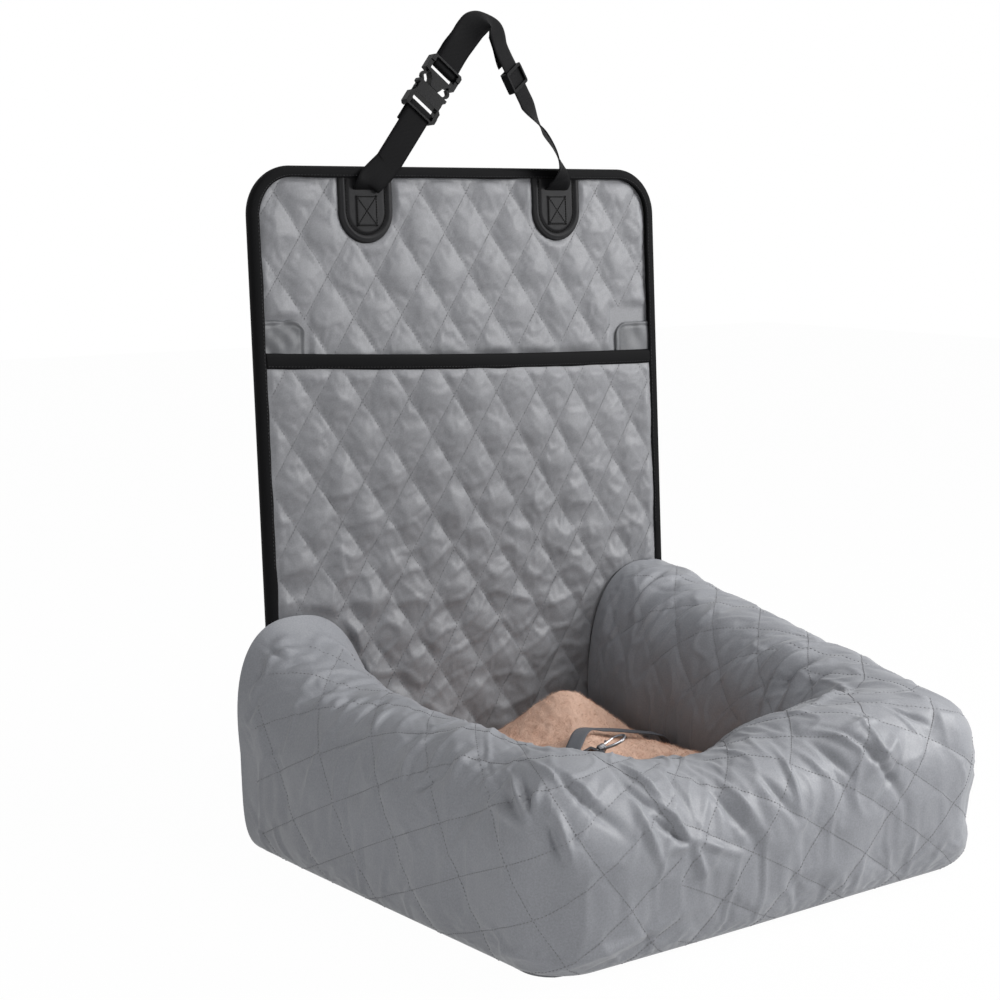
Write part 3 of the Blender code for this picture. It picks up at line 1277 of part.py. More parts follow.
def make_hook(world):
    """A swivel eye in the webbing's end, a hook that turns on its post, and a sprung gate."""
    z_axis = Vector(HOOK_DIRECTION).normalized()
    x_axis = Vector((0, 0, 1)).cross(z_axis).normalized()
    y_axis = z_axis.cross(x_axis)
    matrix = Matrix.LocRotScale(Vector(HOOK_ORIGIN), None, None)
    for row in range(3):
        for column, axis in enumerate((x_axis, y_axis, z_axis)):
            matrix[row][column] = axis[row]
    hook = Frame("hook_frame", matrix, world)

    half, bar = HOOK_EYE_WIDTH / 2, HOOK_BAR / 2
    eye_top = HOOK_EYE_LENGTH
    ring = rounded_rectangle(-half, half, -bar, eye_top, bar, 3)
    hole = rounded_rectangle(-half + HOOK_BAR, half - HOOK_BAR, bar, eye_top - HOOK_BAR, bar / 2, 2)
    eye = add_piece("hook_eye", *slab([ring, hole], -bar, bar), "nickel", hook)
    post_top = eye_top + HOOK_POST_LENGTH
    post = tube([(0, eye_top - bar), (0, post_top)], [HOOK_POST_RADIUS] * 2, 12)
    add_helper(eye, "post", post, hook, "UNION")

    barrel_foot = eye_top + GAP
    barrel_top = post_top + HOOK_BAR
    wide, slim = HOOK_BARREL_RADIUS, HOOK_BARREL_RADIUS * HOOK_NECK_SHARE
    barrel = tube(
        [(0, z) for z in (barrel_foot, barrel_foot + bar, barrel_top - bar, barrel_top)],
        [slim, wide, wide, slim], 14,
    )
    body = add_piece("hook_body", *barrel, "nickel", hook)
    reach = HOOK_LENGTH - barrel_top
    spine = smooth_line(
        [(x * HOOK_WIDTH / 2, barrel_top + z * reach) for x, z in HOOK_SHARES], HOOK_STATIONS
    )
    radii = bar * np.interp(np.linspace(0, 1, HOOK_STATIONS), *zip(*HOOK_TAPER_SHARES))
    add_helper(body, "spine", tube(spine, radii), hook, "UNION")
    bore = tube([(0, eye_top - bar), (0, post_top + RUNNING_GAP)],
                [HOOK_POST_RADIUS + GAP] * 2, 12)
    add_helper(body, "bore", bore, hook, "DIFFERENCE")

    tip_x, tip_z = spine[-1]
    foot = (HOOK_GATE_SHARE * HOOK_WIDTH / 2, barrel_top + RUNNING_GAP)
    gate_radius = bar * HOOK_GATE_BAR_SHARE
    top = (tip_x, tip_z - GAP - RUNNING_GAP)
    gate = add_piece("hook_gate", *tube([foot, top], [gate_radius] * 2, 8), "nickel", hook,
                     None, (foot[0], 0, foot[1]))
    middle = ((foot[0] + top[0]) / 2, (foot[1] + top[1]) / 2)
    lever = tube([middle, (middle[0] + HOOK_BAR, middle[1])],
                 [gate_radius * HOOK_NECK_SHARE, gate_radius], 8)
    add_helper(gate, "lever", lever, hook, "UNION")


def main():
    clear_scene()
    world = Frame("dog_car_seat", Matrix.Identity(4))
    panel_matrix = (
        Matrix.Translation((0, PANEL_SETBACK, 0)) @ Matrix.Rotation(-PANEL_LEAN, 4, "X")
    )
    panel = Frame("panel_frame", panel_matrix, world)
    pivot = (0, FOLD_DEPTH, FOLD_HEIGHT)
    fold = Frame("panel_fold_axis", panel_matrix @ Matrix.Translation(pivot), panel)

    make_base(world)
    make_bolsters(world)
    make_plush(world)
    make_lower_panel(panel)
    make_zip(panel)
    make_upper_panel(panel, fold)
    make_pocket(panel, fold)
    make_patches(panel, fold)
    make_left_strap(panel, fold)
    make_right_root(panel, fold)

    across = Matrix.Rotation(math.pi / 2 - BUCKLE_ANGLE, 4, "Y")
    centre = Matrix.Translation((BUCKLE_CENTRE_X, BUCKLE_DEPTH, BUCKLE_CENTRE_HEIGHT))
    buckle = Frame("buckle_frame", panel_matrix @ centre @ across, fold)
    loop = Frame("strap_loop", buckle.matrix, buckle)
    make_socket(buckle, fold)
    make_plug(buckle, loop)
    make_prongs(buckle, loop)
    make_headrest_strap(panel, loop)

    place, x_axis, y_axis, z_axis = slider_place()
    local = Matrix.Translation(Vector(place))
    for row in range(3):
        for column, axis in enumerate((x_axis, y_axis, z_axis)):
            local[row][column] = axis[row]
    slider_frame = Frame("strap_slider_frame", panel_matrix @ local, loop)
    make_slider(slider_frame, loop)
    make_slider_loop(slider_frame)

    make_tether(world)
    make_hook(world)


main()
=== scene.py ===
"""Looks of the dog car seat: camera, light, cloth, stitching, webbing, plush and finishes.

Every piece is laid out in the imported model's own frame: metres, +Z up, -Y to the front, with the
origin in the middle of the nest's underside.
"""
import logging
import math
from dataclasses import dataclass
from enum import Enum

import bmesh
import bpy
import numpy as np
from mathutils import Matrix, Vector


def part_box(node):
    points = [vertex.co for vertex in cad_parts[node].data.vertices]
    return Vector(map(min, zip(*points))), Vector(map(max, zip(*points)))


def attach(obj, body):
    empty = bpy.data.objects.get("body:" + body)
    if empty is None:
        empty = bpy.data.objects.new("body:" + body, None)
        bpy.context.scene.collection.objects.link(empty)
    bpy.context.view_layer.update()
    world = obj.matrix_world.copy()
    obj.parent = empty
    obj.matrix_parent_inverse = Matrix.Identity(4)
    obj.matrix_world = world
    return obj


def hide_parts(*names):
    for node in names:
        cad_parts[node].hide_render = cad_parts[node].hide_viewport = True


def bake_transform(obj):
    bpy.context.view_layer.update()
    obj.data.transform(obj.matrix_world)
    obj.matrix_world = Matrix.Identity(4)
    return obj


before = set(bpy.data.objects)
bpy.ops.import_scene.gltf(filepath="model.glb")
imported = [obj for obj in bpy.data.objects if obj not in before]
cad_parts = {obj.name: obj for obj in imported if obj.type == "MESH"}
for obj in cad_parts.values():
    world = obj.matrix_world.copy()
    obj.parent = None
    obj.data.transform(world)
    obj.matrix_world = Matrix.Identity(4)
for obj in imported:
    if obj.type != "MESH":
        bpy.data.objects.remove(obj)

Array = np.ndarray
Colour = tuple[float, float, float]
Material = bpy.types.Material
Object = bpy.types.Object
Socket = bpy.types.NodeSocket

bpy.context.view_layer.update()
CLOTH_FRAMES = 16
STITCH_PITCH = 0.0034
STITCH_LENGTH = STITCH_PITCH * 0.66
THREAD_RADIUS = 0.00042
log = logging.getLogger("dog_car_seat")


class Body(Enum):
    """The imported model's bodies that new pieces ride on."""

    NEST = "nest"
    PANEL = "back_panel"
    LOOP = "strap_loop"
    SLIDER = "slider"


# ---- plain mathematics on whole arrays


def smooth_step(value: Array) -> Array:
    """Ease from 0 to 1.

    Args:
        value: Where to look it up, clipped to 0..1.

    Returns:
        3v^2 - 2v^3.
    """
    value = np.clip(value, 0.0, 1.0)
    return value * value * (3 - 2 * value)


def unit(vectors: Array) -> Array:
    """Scale vectors to length 1.

    Args:
        vectors: Rows of vectors.

    Returns:
        The same rows, each divided by its length.
    """
    return vectors / np.maximum(np.linalg.norm(vectors, axis=-1, keepdims=True), 1e-12)


def smooth_line(rows: Array, count: int) -> Array:
    """Run a smooth curve through rows of numbers, as part.py does.

    A cubic Hermite curve between each two rows, whose slopes are means of the neighbouring chords'
    slopes, weighted by the square roots of the chords' lengths in the first three columns.

    Args:
        rows: The rows that it passes.
        count: How many rows come out, as many between each two of the given ones.

    Returns:
        The curve's rows.
    """
    rows = np.asarray(rows, float)
    gaps = np.sqrt(np.linalg.norm(np.diff(rows[:, :3], axis=0), axis=1))
    slopes = np.diff(rows, axis=0) / gaps[:, None]
    before, after = gaps[:-1, None], gaps[1:, None]
    inner = (slopes[:-1] * after + slopes[1:] * before) / (before + after)
    tangents = np.vstack([slopes[:1], inner, slopes[-1:]])
    t = np.linspace(0, len(rows) - 1, count)
    i = np.minimum(t.astype(int), len(rows) - 2)
    f, span = (t - i)[:, None], gaps[i][:, None]
    return (
        rows[i] * (1 + 2 * f) * (1 - f) ** 2 + tangents[i] * span * f * (1 - f) ** 2
        + rows[i + 1] * f**2 * (3 - 2 * f) + tangents[i + 1] * span * f**2 * (f - 1)
    )


def run_length(places: Array) -> Array:
    """Distance run along a line, from 0 at its first place."""
    return np.concatenate([[0], np.cumsum(np.linalg.norm(np.diff(places, axis=0), axis=1))])


def even(line: Array, step: float) -> Array:
    """Space a line's rows evenly.

    Args:
        line: Rows whose first three columns are places.
        step: The distance wanted between rows, in metres.

    Returns:
        Rows interpolated along the line's length.
    """
    length = run_length(line[:, :3])
    at = np.linspace(0, length[-1], max(2, round(length[-1] / step) + 1))
    return np.stack([np.interp(at, length, column) for column in line.T], axis=1)


def bell(value: Array, width: float) -> Array:
    """A bell: 1 where the value is 0, falling to 1/e at the width."""
    return np.exp(-((value / width) ** 2))


def clear_of(distance: Array, ease: float) -> Array:
    """0 well under a covering edge, rising to 1 at 0.8 of the ease beyond it."""
    return smooth_step(distance / ease + 0.2)


def ripple(x: Array, y: Array, size: float, seed: int, waves: int = 9) -> Array:
    """Smooth noise: a sum of sine waves that run in seeded directions.

    Args:
        x: First coordinate, in metres.
        y: Second coordinate, in metres.
        size: The mean wavelength, in metres.
        seed: Picks the directions, lengths and phases.
        waves: How many waves are summed.

    Returns:
        Values from about -1 to 1.
    """
    rng = np.random.default_rng(seed)
    total = np.zeros(np.broadcast(x, y).shape)
    for _ in range(waves):
        angle, phase = rng.uniform(0, 2 * math.pi, 2)
        wave = 2 * math.pi / (size * rng.uniform(0.65, 1.5))
        total += np.sin((x * math.cos(angle) + y * math.sin(angle)) * wave + phase)
    return total / math.sqrt(waves) / 1.4


def ridges(x: Array, y: Array, size: float, seed: int) -> Array:
    """Narrow crests between shallow hollows, as in crumpled satin.

    Args:
        x: First coordinate, in metres.
        y: Second coordinate, in metres.
        size: The mean distance between crests, in metres.
        seed: Picks the pattern.

    Returns:
        1 on the crests, where a smooth noise is zero, falling to 0 beside them as a square.
    """
    return np.clip(1 - 1.8 * np.abs(ripple(x, y, size * 2, seed)), 0, 1) ** 2


def doubled(grid: Array, axis: int) -> Array:
    """Put a point halfway between each two of a grid along an axis.

    Args:
        grid: Rows x columns x numbers.
        axis: 0 for rows, 1 for columns.

    Returns:
        The finer grid. A new point is 9/16 of both its neighbours less 1/16 of the next two.
    """
    grid = np.moveaxis(grid, axis, 0)
    wide = np.concatenate([2 * grid[:1] - grid[1:2], grid, 2 * grid[-1:] - grid[-2:-1]])
    middle = (9 * (wide[1:-2] + wide[2:-1]) - wide[:-3] - wide[3:]) / 16
    out = np.empty((2 * len(grid) - 1, *grid.shape[1:]))
    out[::2], out[1::2] = grid, middle
    return np.moveaxis(out, 0, axis)


def settle(points: Array, pinned: Array, slack: Array, pressure: float, cap: float) -> Array:
    """Let cloth puff out between its stitches, with Blender's cloth simulation.

    Args:
        points: Rows x columns x 3, whose columns run to the right and rows up, seen from outside.
        pinned: Rows x columns of strengths, 1 where the cloth is sewn down.
        slack: Rows x columns, 0..1: how much more cloth there is, from 1 to 7 per cent.
        pressure: The stuffing's pressure.
        cap: How far a point may move, in metres.

    Returns:
        The points where the cloth comes to rest.
    """
    rows, columns = points.shape[:2]
    obj = make_mesh("cloth_trial", points, grid_quads(rows, columns), keep_sides=True)
    steps = 8
    for name, strengths in (("pinned", pinned), ("slack", slack)):
        group = obj.vertex_groups.new(name=name)
        levels = np.round(np.clip(strengths, 0, 1).ravel() * steps).astype(int)
        for level in range(1, steps + 1):
            group.add(np.nonzero(levels == level)[0].tolist(), level / steps, "REPLACE")
    modifier = obj.modifiers.new("cloth", "CLOTH")
    cloth = modifier.settings
    cloth.quality, cloth.mass, cloth.air_damping = 4, 0.2, 2.0
    cloth.tension_stiffness = cloth.compression_stiffness = 12.0
    cloth.shear_stiffness, cloth.bending_stiffness = 4.0, 0.02
    cloth.vertex_group_mass, cloth.pin_stiffness = "pinned", 1.0
    cloth.use_pressure, cloth.uniform_pressure_force = True, pressure
    cloth.vertex_group_shrink, cloth.shrink_min, cloth.shrink_max = "slack", -0.01, -0.07
    cloth.effector_weights.gravity = 0.0
    modifier.point_cache.frame_start, modifier.point_cache.frame_end = 1, CLOTH_FRAMES
    scene = bpy.context.scene
    for number in range(1, CLOTH_FRAMES + 1):
        scene.frame_set(number)
    shaped = obj.evaluated_get(bpy.context.evaluated_depsgraph_get()).data
    places = np.empty(rows * columns * 3, np.float32)
    shaped.vertices.foreach_get("co", places)
    mesh = obj.data
    bpy.data.objects.remove(obj)
    bpy.data.meshes.remove(mesh)
    scene.frame_set(1)
    move = places.reshape(points.shape) - points
    size = np.linalg.norm(move, axis=-1, keepdims=True)
    log.info("cloth moved %.1f mm at most, %.1f mm on average",
             size.max() * 1000, size.mean() * 1000)
    return points + move * np.minimum(1, cap / np.maximum(size, 1e-9))


def aligned(low: float, high: float, base: float, step: float) -> Array:
    """Numbers from low to high, with whole steps from base between them, and an odd count."""
    first, last = math.ceil((low - base) / step + 0.3), math.floor((high - base) / step - 0.3)
    line = np.concatenate([[low], base + step * np.arange(first, last + 1), [high]])
    return line if len(line) % 2 else np.insert(line, 1, (line[0] + line[1]) / 2)


def grid_normals(points: Array) -> Array:
    """Normals of a grid whose columns run to the right and rows up, seen from outside."""
    return unit(np.cross(np.gradient(points, axis=1), np.gradient(points, axis=0)))


def mixed(table: Array, i: Array, j: Array, f: Array, g: Array) -> Array:
    """Read a grid between its points.

    Args:
        table: The grid.
        i: Row before each place.
        j: Column before each place.
        f: How far it is to the next row, as a share.
        g: How far it is to the next column, as a share.

    Returns:
        Numbers mixed linearly from the four points round each place.
    """
    return (
        table[i, j] * (1 - f) * (1 - g) + table[i + 1, j] * f * (1 - g)
        + table[i, j + 1] * (1 - f) * g + table[i + 1, j + 1] * f * g
    )


def look_up(tables: tuple[Array, ...], major: Array, minor: Array, a: Array,
            b: Array) -> list[Array]:
    """Read grids at flat coordinates.

    Args:
        tables: Grids of numbers.
        major: A coordinate for each row.
        minor: The other coordinate for each point, rising along the rows.
        a: Values of the first coordinate.
        b: Values of the second coordinate.

    Returns:
        For each grid its numbers, mixed linearly from the four points round each place.
    """
    i = np.clip(np.searchsorted(major, a) - 1, 0, len(major) - 2)
    f = (a - major[i]) / (major[i + 1] - major[i])
    rows = minor[i]
    j = np.clip((rows < b[:, None]).sum(1) - 1, 0, rows.shape[1] - 2)
    pick = np.arange(len(i))
    g = np.clip((b - rows[pick, j]) / np.maximum(rows[pick, j + 1] - rows[pick, j], 1e-9), 0, 1)
    return [mixed(table, i, j, f[:, None], g[:, None]) for table in tables]


# ---- meshes


def make_mesh(name: str, points: Array, *faces: Array, keep_sides: bool = False) -> Object:
    """Make a smooth mesh object from whole arrays.

    Args:
        name: The object's name.
        points: N x 3 places.
        faces: Arrays of indices, each with as many columns as its faces have corners.
        keep_sides: Leave the faces turned as they are given.

    Returns:
        The object, linked to the scene, with its faces turned outwards.
    """
    points = np.asarray(points, np.float32).reshape(-1, 3)
    mesh = bpy.data.meshes.new(name)
    mesh.vertices.add(len(points))
    mesh.vertices.foreach_set("co", points.ravel())
    sizes = np.concatenate([np.full(len(part), part.shape[1]) for part in faces])
    loops = np.concatenate([np.asarray(part, np.int32).ravel() for part in faces])
    mesh.loops.add(len(loops))
    mesh.loops.foreach_set("vertex_index", loops)
    mesh.polygons.add(len(sizes))
    mesh.polygons.foreach_set("loop_start", (np.cumsum(sizes) - sizes).astype(np.int32))
    mesh.update(calc_edges=True)
    mesh.validate()
    if not keep_sides:
        turned = bmesh.new()
        turned.from_mesh(mesh)
        bmesh.ops.recalc_face_normals(turned, faces=turned.faces)
        turned.to_mesh(mesh)
        turned.free()
    mesh.polygons.foreach_set("use_smooth", np.ones(len(mesh.polygons), bool))
    obj = bpy.data.objects.new(name, mesh)
    bpy.context.scene.collection.objects.link(obj)
    return obj


def grid_quads(rows: int, columns: int, first: int = 0) -> Array:
    """Faces of a grid of rows x columns points, whose first point has the index first."""
    a = first + np.arange(rows - 1)[:, None] * columns + np.arange(columns - 1)[None, :]
    return np.stack([a, a + 1, a + columns + 1, a + columns], axis=-1).reshape(-1, 4)


def set_field(obj: Object, name: str, values: Array) -> None:
    """Keep a vector for each point on the mesh, for its material to read.

    Args:
        obj: The object.
        name: The attribute's name.
        values: N x 3 numbers.
    """
    attribute = obj.data.attributes.new(name, "FLOAT_VECTOR", "POINT")
    attribute.data.foreach_set("vector", np.asarray(values, np.float32).ravel())


def sheet_mesh(name: str, front: Array, back: Array, cloth: Array | None = None,
               stride: int = 1) -> Object:
    """Make a closed layer from two grids of the same size, joined round their rims.

    Args:
        name: The object's name.
        front: Rows x columns x 3, the side that is seen.
        back: The same for its other side.
        cloth: Rows x columns x 3 numbers kept as the attribute cloth on both sides.
        stride: The back keeps one column of so many, which is a factor of columns - 1.

    Returns:
        The object.
    """
    rows, columns = front.shape[:2]
    size = rows * columns
    back = back[:, ::stride]
    few = back.shape[1]
    faces = [grid_quads(rows, columns), grid_quads(rows, few, size)[:, ::-1]]
    row = np.arange(rows - 1)
    for column, other in ((0, 0), (columns - 1, few - 1)):
        a, b = row * columns + column, size + row * few + other
        side = np.stack([a, a + columns, b + few, b], axis=1)
        faces.append(side[:, ::-1] if column else side)
    k = np.arange(few - 1)
    for i in (0, rows - 1):
        run = i * columns + k[:, None] * stride + np.arange(stride + 1)[None]
        under = size + i * few + np.stack([k + 1, k], axis=1)
        rim = np.concatenate([run, under], axis=1)
        faces.append(rim if i else rim[:, ::-1])
    points = np.concatenate([front.reshape(-1, 3), back.reshape(-1, 3)])
    obj = make_mesh(name, points, *faces)
    if cloth is not None:
        both = [cloth.reshape(-1, 3), cloth[:, ::stride].reshape(-1, 3)]
        set_field(obj, "cloth", np.concatenate(both))
    return obj


def sweep_mesh(name: str, rings: Array, cloth: Array | None = None) -> Object:
    """Make a closed bar from rings of points, with a fan of faces over each end.

    The edges round both ends are sharp, so that the fans don't shade the bar.

    Args:
        name: The object's name.
        rings: Rings x points x 3.
        cloth: The same shape: numbers kept as the attribute cloth.

    Returns:
        The object.
    """
    count, around = rings.shape[:2]
    a = np.arange(count - 1)[:, None] * around + np.arange(around)[None, :]
    b = np.arange(count - 1)[:, None] * around + np.roll(np.arange(around), -1)[None, :]
    quads = np.stack([a, b, b + around, a + around], axis=-1).reshape(-1, 4)
    points = np.concatenate([
        rings.reshape(-1, 3), rings[0].mean(0, keepdims=True), rings[-1].mean(0, keepdims=True)
    ])
    ring, last = np.arange(around), (count - 1) * around
    size = count * around
    tris = np.concatenate([
        np.stack([np.roll(ring, -1), ring, np.full(around, size)], axis=1),
        np.stack([last + ring, last + np.roll(ring, -1), np.full(around, size + 1)], axis=1),
    ])
    obj = make_mesh(name, points, quads, tris)
    pairs = np.empty(2 * len(obj.data.edges), np.int32)
    obj.data.edges.foreach_get("vertices", pairs)
    low, high = np.sort(pairs.reshape(-1, 2), axis=1).T
    sharp = (high < around) | ((low >= last) & (high < size))
    obj.data.attributes.new("sharp_edge", "BOOLEAN", "EDGE").data.foreach_set("value", sharp)
    if cloth is not None:
        ends = np.stack([cloth[0].mean(0), cloth[-1].mean(0)])
        set_field(obj, "cloth", np.concatenate([cloth.reshape(-1, 3), ends]))
    return obj


def ribbon_rings(path: Array, across: Array, width: float, thickness: float) -> tuple[Array, Array]:
    """Lay webbing along a path: a flat section with full, rounded selvedges.

    The section's thickness is 1 less 0.65 of the tenth power of the place across, and near
    each selvedge it is drawn up to 8 % thicker than that.

    Args:
        path: N x 3 places.
        across: N x 3 vectors along the webbing's width.
        width: Its width in metres.
        thickness: Its thickness in metres.

    Returns:
        The rings, and for each point its length along, its place across and its side.
    """
    along = unit(np.gradient(path, axis=0))
    across = unit(across - (across * along).sum(1)[:, None] * along)
    out = np.cross(along, across)
    share = np.linspace(-1, 1, 9)
    edge = 1 - 0.65 * np.abs(share) ** 10
    edge *= 1 + 0.08 * np.abs(share) ** 3
    u = np.concatenate([share, share[::-1]])
    v = np.concatenate([edge, -edge[::-1]])
    rings = (
        path[:, None] + across[:, None] * (u * width / 2)[None, :, None]
        + out[:, None] * (v * thickness / 2)[None, :, None]
    )
    cloth = np.stack([
        np.broadcast_to(run_length(path)[:, None], rings.shape[:2]),
        np.broadcast_to(u[None] * width / 2, rings.shape[:2]),
        np.broadcast_to(np.sign(v)[None], rings.shape[:2]),
    ], axis=-1)
    return rings, cloth


def thread(name: str, places: Array, along: Array, out: Array, length: float,
           radius: float) -> Object:
    """Make separate stitches: each a short bead of thread that dives at both its ends.

    Args:
        name: The object's name.
        places: N x 3 middles, on the cloth.
        along: N x 3 directions of the stitches.
        out: N x 3 directions away from the cloth, or one for all.
        length: A stitch's length in metres.
        radius: The thread's radius in metres.

    Returns:
        The object.
    """
    along = unit(along)
    out = np.broadcast_to(unit(out), along.shape)
    side = np.cross(along, out)
    shape = [(-0.5, 0, 0, -0.9)]
    for where in (-0.3, 0.3):
        shape += [(where, 0.9 * math.cos(a), 0.9 * math.sin(a), 0.35)
                  for a in (math.pi / 4, 3 * math.pi / 4, 5 * math.pi / 4, 7 * math.pi / 4)]
    shape.append((0.5, 0, 0, -0.9))
    shape = np.array(shape)
    points = (
        places[:, None] + along[:, None] * (shape[:, 0] * length)[None, :, None]
        + side[:, None] * (shape[:, 1] * radius)[None, :, None]
        + out[:, None] * ((shape[:, 2] + shape[:, 3]) * radius)[None, :, None]
    )
    k = np.arange(4)
    after = np.roll(k, -1)
    offset = (np.arange(len(places)) * 10)[:, None, None]
    quads = np.stack([1 + k, 1 + after, 5 + after, 5 + k], axis=1)[None] + offset
    tris = np.concatenate([
        np.stack([np.zeros(4, int), 1 + after, 1 + k], axis=1),
        np.stack([np.full(4, 9), 5 + k, 5 + after], axis=1),
    ])[None] + offset
    return make_mesh(name, points.reshape(-1, 3), quads.reshape(-1, 4), tris.reshape(-1, 3))


def finish_piece(obj: Object, material: Material, body: Body | None,
                 replaces: tuple[str, ...] = ()) -> Object:
    """Give a piece its material and its body, and log it.

    Args:
        obj: The piece.
        material: Its material.
        body: The body that it rides on, or None.
        replaces: CAD nodes that it stands for.

    Returns:
        The piece.
    """
    obj.data.materials.clear()
    obj.data.materials.append(material)
    if replaces:
        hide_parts(*replaces)
    if body is not None:
        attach(obj, body.value)
    log.info("%s: %d points", obj.name, len(obj.data.vertices))
    return obj


# ---- finishes


def opaque(colour: Colour, share: float = 1.0) -> tuple[float, ...]:
    """A colour times a share, with its alpha."""
    return (*[part * share for part in colour], 1)


class Nodes:
    """The node tree of a material or of the world, built by short calls."""

    def __init__(self, name: str, world: bpy.types.World | None = None) -> None:
        """Start a new material's tree, or the given world's."""
        self.owner = world or bpy.data.materials.new(name)
        self.owner.use_nodes = True
        self.tree = self.owner.node_tree
        self.tree.nodes.clear()
        kind = "World" if world else "Material"
        self.output = self.tree.nodes.new("ShaderNodeOutput" + kind)

    def plug(self, socket: Socket, value: Socket | float | tuple) -> None:
        """Link a socket to another node's, or set its own value."""
        if isinstance(value, Socket):
            self.tree.links.new(value, socket)
        else:
            socket.default_value = value

    def add(self, kind: str, inputs: dict | None = None, **settings) -> bpy.types.Node:
        """Add a node.

        Args:
            kind: Its type, without the word ShaderNode.
            inputs: For each socket, by name or index, a value or another node's socket.
            settings: The node's own properties.

        Returns:
            The node.
        """
        node = self.tree.nodes.new("ShaderNode" + kind)
        for key, value in settings.items():
            setattr(node, key, value)
        for key, value in (inputs or {}).items():
            self.plug(node.inputs[key], value)
        return node

    def math(self, operation: str, *values: Socket | float, clamp: bool = False) -> Socket:
        """Add a math node and give its result."""
        node = self.add("Math", dict(enumerate(values)), operation=operation, use_clamp=clamp)
        return node.outputs[0]

    def scaled(self, value: Socket, factor: float, plus: Socket | float) -> Socket:
        """Give a value times a factor, plus a number or another value."""
        return self.math("ADD", self.math("MULTIPLY", value, factor), plus)

    def toned(self, colour: Colour, tone: Socket) -> Socket:
        """Give a colour times a tone."""
        return self.add("VectorMath", {0: colour, "Scale": tone}, operation="SCALE").outputs[0]

    def mix(self, factor: Socket, a: tuple, b: tuple) -> Socket:
        """Mix two colours."""
        node = self.add("Mix", data_type="RGBA")
        for number, value in ((0, factor), (6, a), (7, b)):
            self.plug(node.inputs[number], value)
        return node.outputs[2]

    def noise(self, vector: Socket, scale: float, detail: float = 2.0,
              rough: float = 0.5) -> Socket:
        """Add noise and give its strength."""
        return self.add("TexNoise", {"Vector": vector, "Scale": scale, "Detail": detail,
                                     "Roughness": rough}).outputs["Fac"]

    def place(self) -> Socket:
        """Give the point's place in the object's own coordinates."""
        return self.add("TexCoord").outputs["Object"]

    def mirrored(self) -> Socket:
        """Give 1 for rays from the camera, a reflection or glass, and 0 for light on surfaces."""
        path = self.add("LightPath").outputs
        seen = self.math("ADD", path["Is Camera Ray"], path["Is Glossy Ray"])
        return self.math("ADD", seen, path["Is Transmission Ray"], clamp=True)

    def cloth(self) -> Socket:
        """Give the vector kept on the mesh as cloth."""
        return self.add("Attribute", attribute_name="cloth").outputs["Vector"]

    def bump(self, height: Socket, strength: float, distance: float,
             normal: Socket | None = None) -> Socket:
        """Add a bump and give its normal."""
        inputs = {"Height": height, "Strength": strength, "Distance": distance}
        if normal is not None:
            inputs["Normal"] = normal
        return self.add("Bump", inputs).outputs["Normal"]

    def rounded(self, radius: float) -> Socket:
        """Give the normal of edges rounded in shading."""
        return self.add("Bevel", {"Radius": radius}, samples=4).outputs[0]

    def close(self, shader: bpy.types.Node) -> None:
        """Link the last shader to the tree's output."""
        self.plug(self.output.inputs[0], shader.outputs[0])

    def surface(self, inputs: dict) -> Material:
        """End the tree in a Principled BSDF.

        Args:
            inputs: Its sockets' values or sources.

        Returns:
            The material.
        """
        self.close(self.add("BsdfPrincipled", inputs))
        return self.owner


@dataclass(frozen=True)
class Satin:
    """Satin woven polyester: a fine weave, a soft sheen and slight shifts of tone."""

    name: str
    colour: Colour
    roughness: float = 0.49
    sheen: float = 0.14
    weave: float = 0.00042

    def material(self) -> Material:
        """Build the material.

        Returns:
            A cloth with cloudy tone and specks, and a bump of fine noise over broad noise.
        """
        nodes = Nodes(self.name)
        place = nodes.place()
        cloud = nodes.noise(place, 9.0, 3.0)
        speck = nodes.noise(place, 620.0, 2.0, 0.75)
        tone = nodes.scaled(cloud, 0.14, nodes.math("MULTIPLY", speck, 0.52))
        colour = nodes.toned(self.colour, nodes.math("ADD", tone, 0.67))
        fine = nodes.noise(place, 1 / self.weave / 2, 2.0, 0.7)
        broad = nodes.noise(place, 55.0, 3.0)
        normal = nodes.bump(fine, 0.22, 0.0002, nodes.bump(broad, 0.18, 0.002))
        return nodes.surface({
            "Base Color": colour, "Roughness": nodes.scaled(cloud, 0.12, self.roughness - 0.06),
            "Normal": normal, "Sheen Weight": self.sheen, "Sheen Roughness": 0.45,
            "Specular IOR Level": 0.42,
        })


@dataclass(frozen=True)
class Woven:
    """Webbing or tape: ribs across it, in the pattern of a coarse twill."""

    name: str
    colour: Colour
    rib: float = 0.0016
    row: float = 0.0021
    depth: float = 0.0004
    roughness: float = 0.62
    sheen: float = 0.0

    def material(self) -> Material:
        """Build the material.

        Returns:
            A cloth whose bump is a wave along the piece times a wave across it, with fine noise.
        """
        nodes = Nodes(self.name)
        split = nodes.add("SeparateXYZ", {0: nodes.cloth()}).outputs
        along = nodes.math("MULTIPLY", split[0], 2 * math.pi / self.rib)
        across = nodes.math("MULTIPLY", split[1], 2 * math.pi / self.row)
        wave = nodes.math("MULTIPLY", nodes.math("SINE", along), nodes.math("SINE", across))
        fuzz = nodes.noise(nodes.place(), 2200.0, 2.0, 0.7)
        height = nodes.scaled(fuzz, 0.35, nodes.scaled(wave, 0.35, 0.5))
        return nodes.surface({
            "Base Color": nodes.toned(self.colour, nodes.scaled(height, 0.7, 0.45)),
            "Roughness": self.roughness, "Normal": nodes.bump(height, 0.6, self.depth),
            "Sheen Weight": self.sheen, "Specular IOR Level": 0.06,
        })


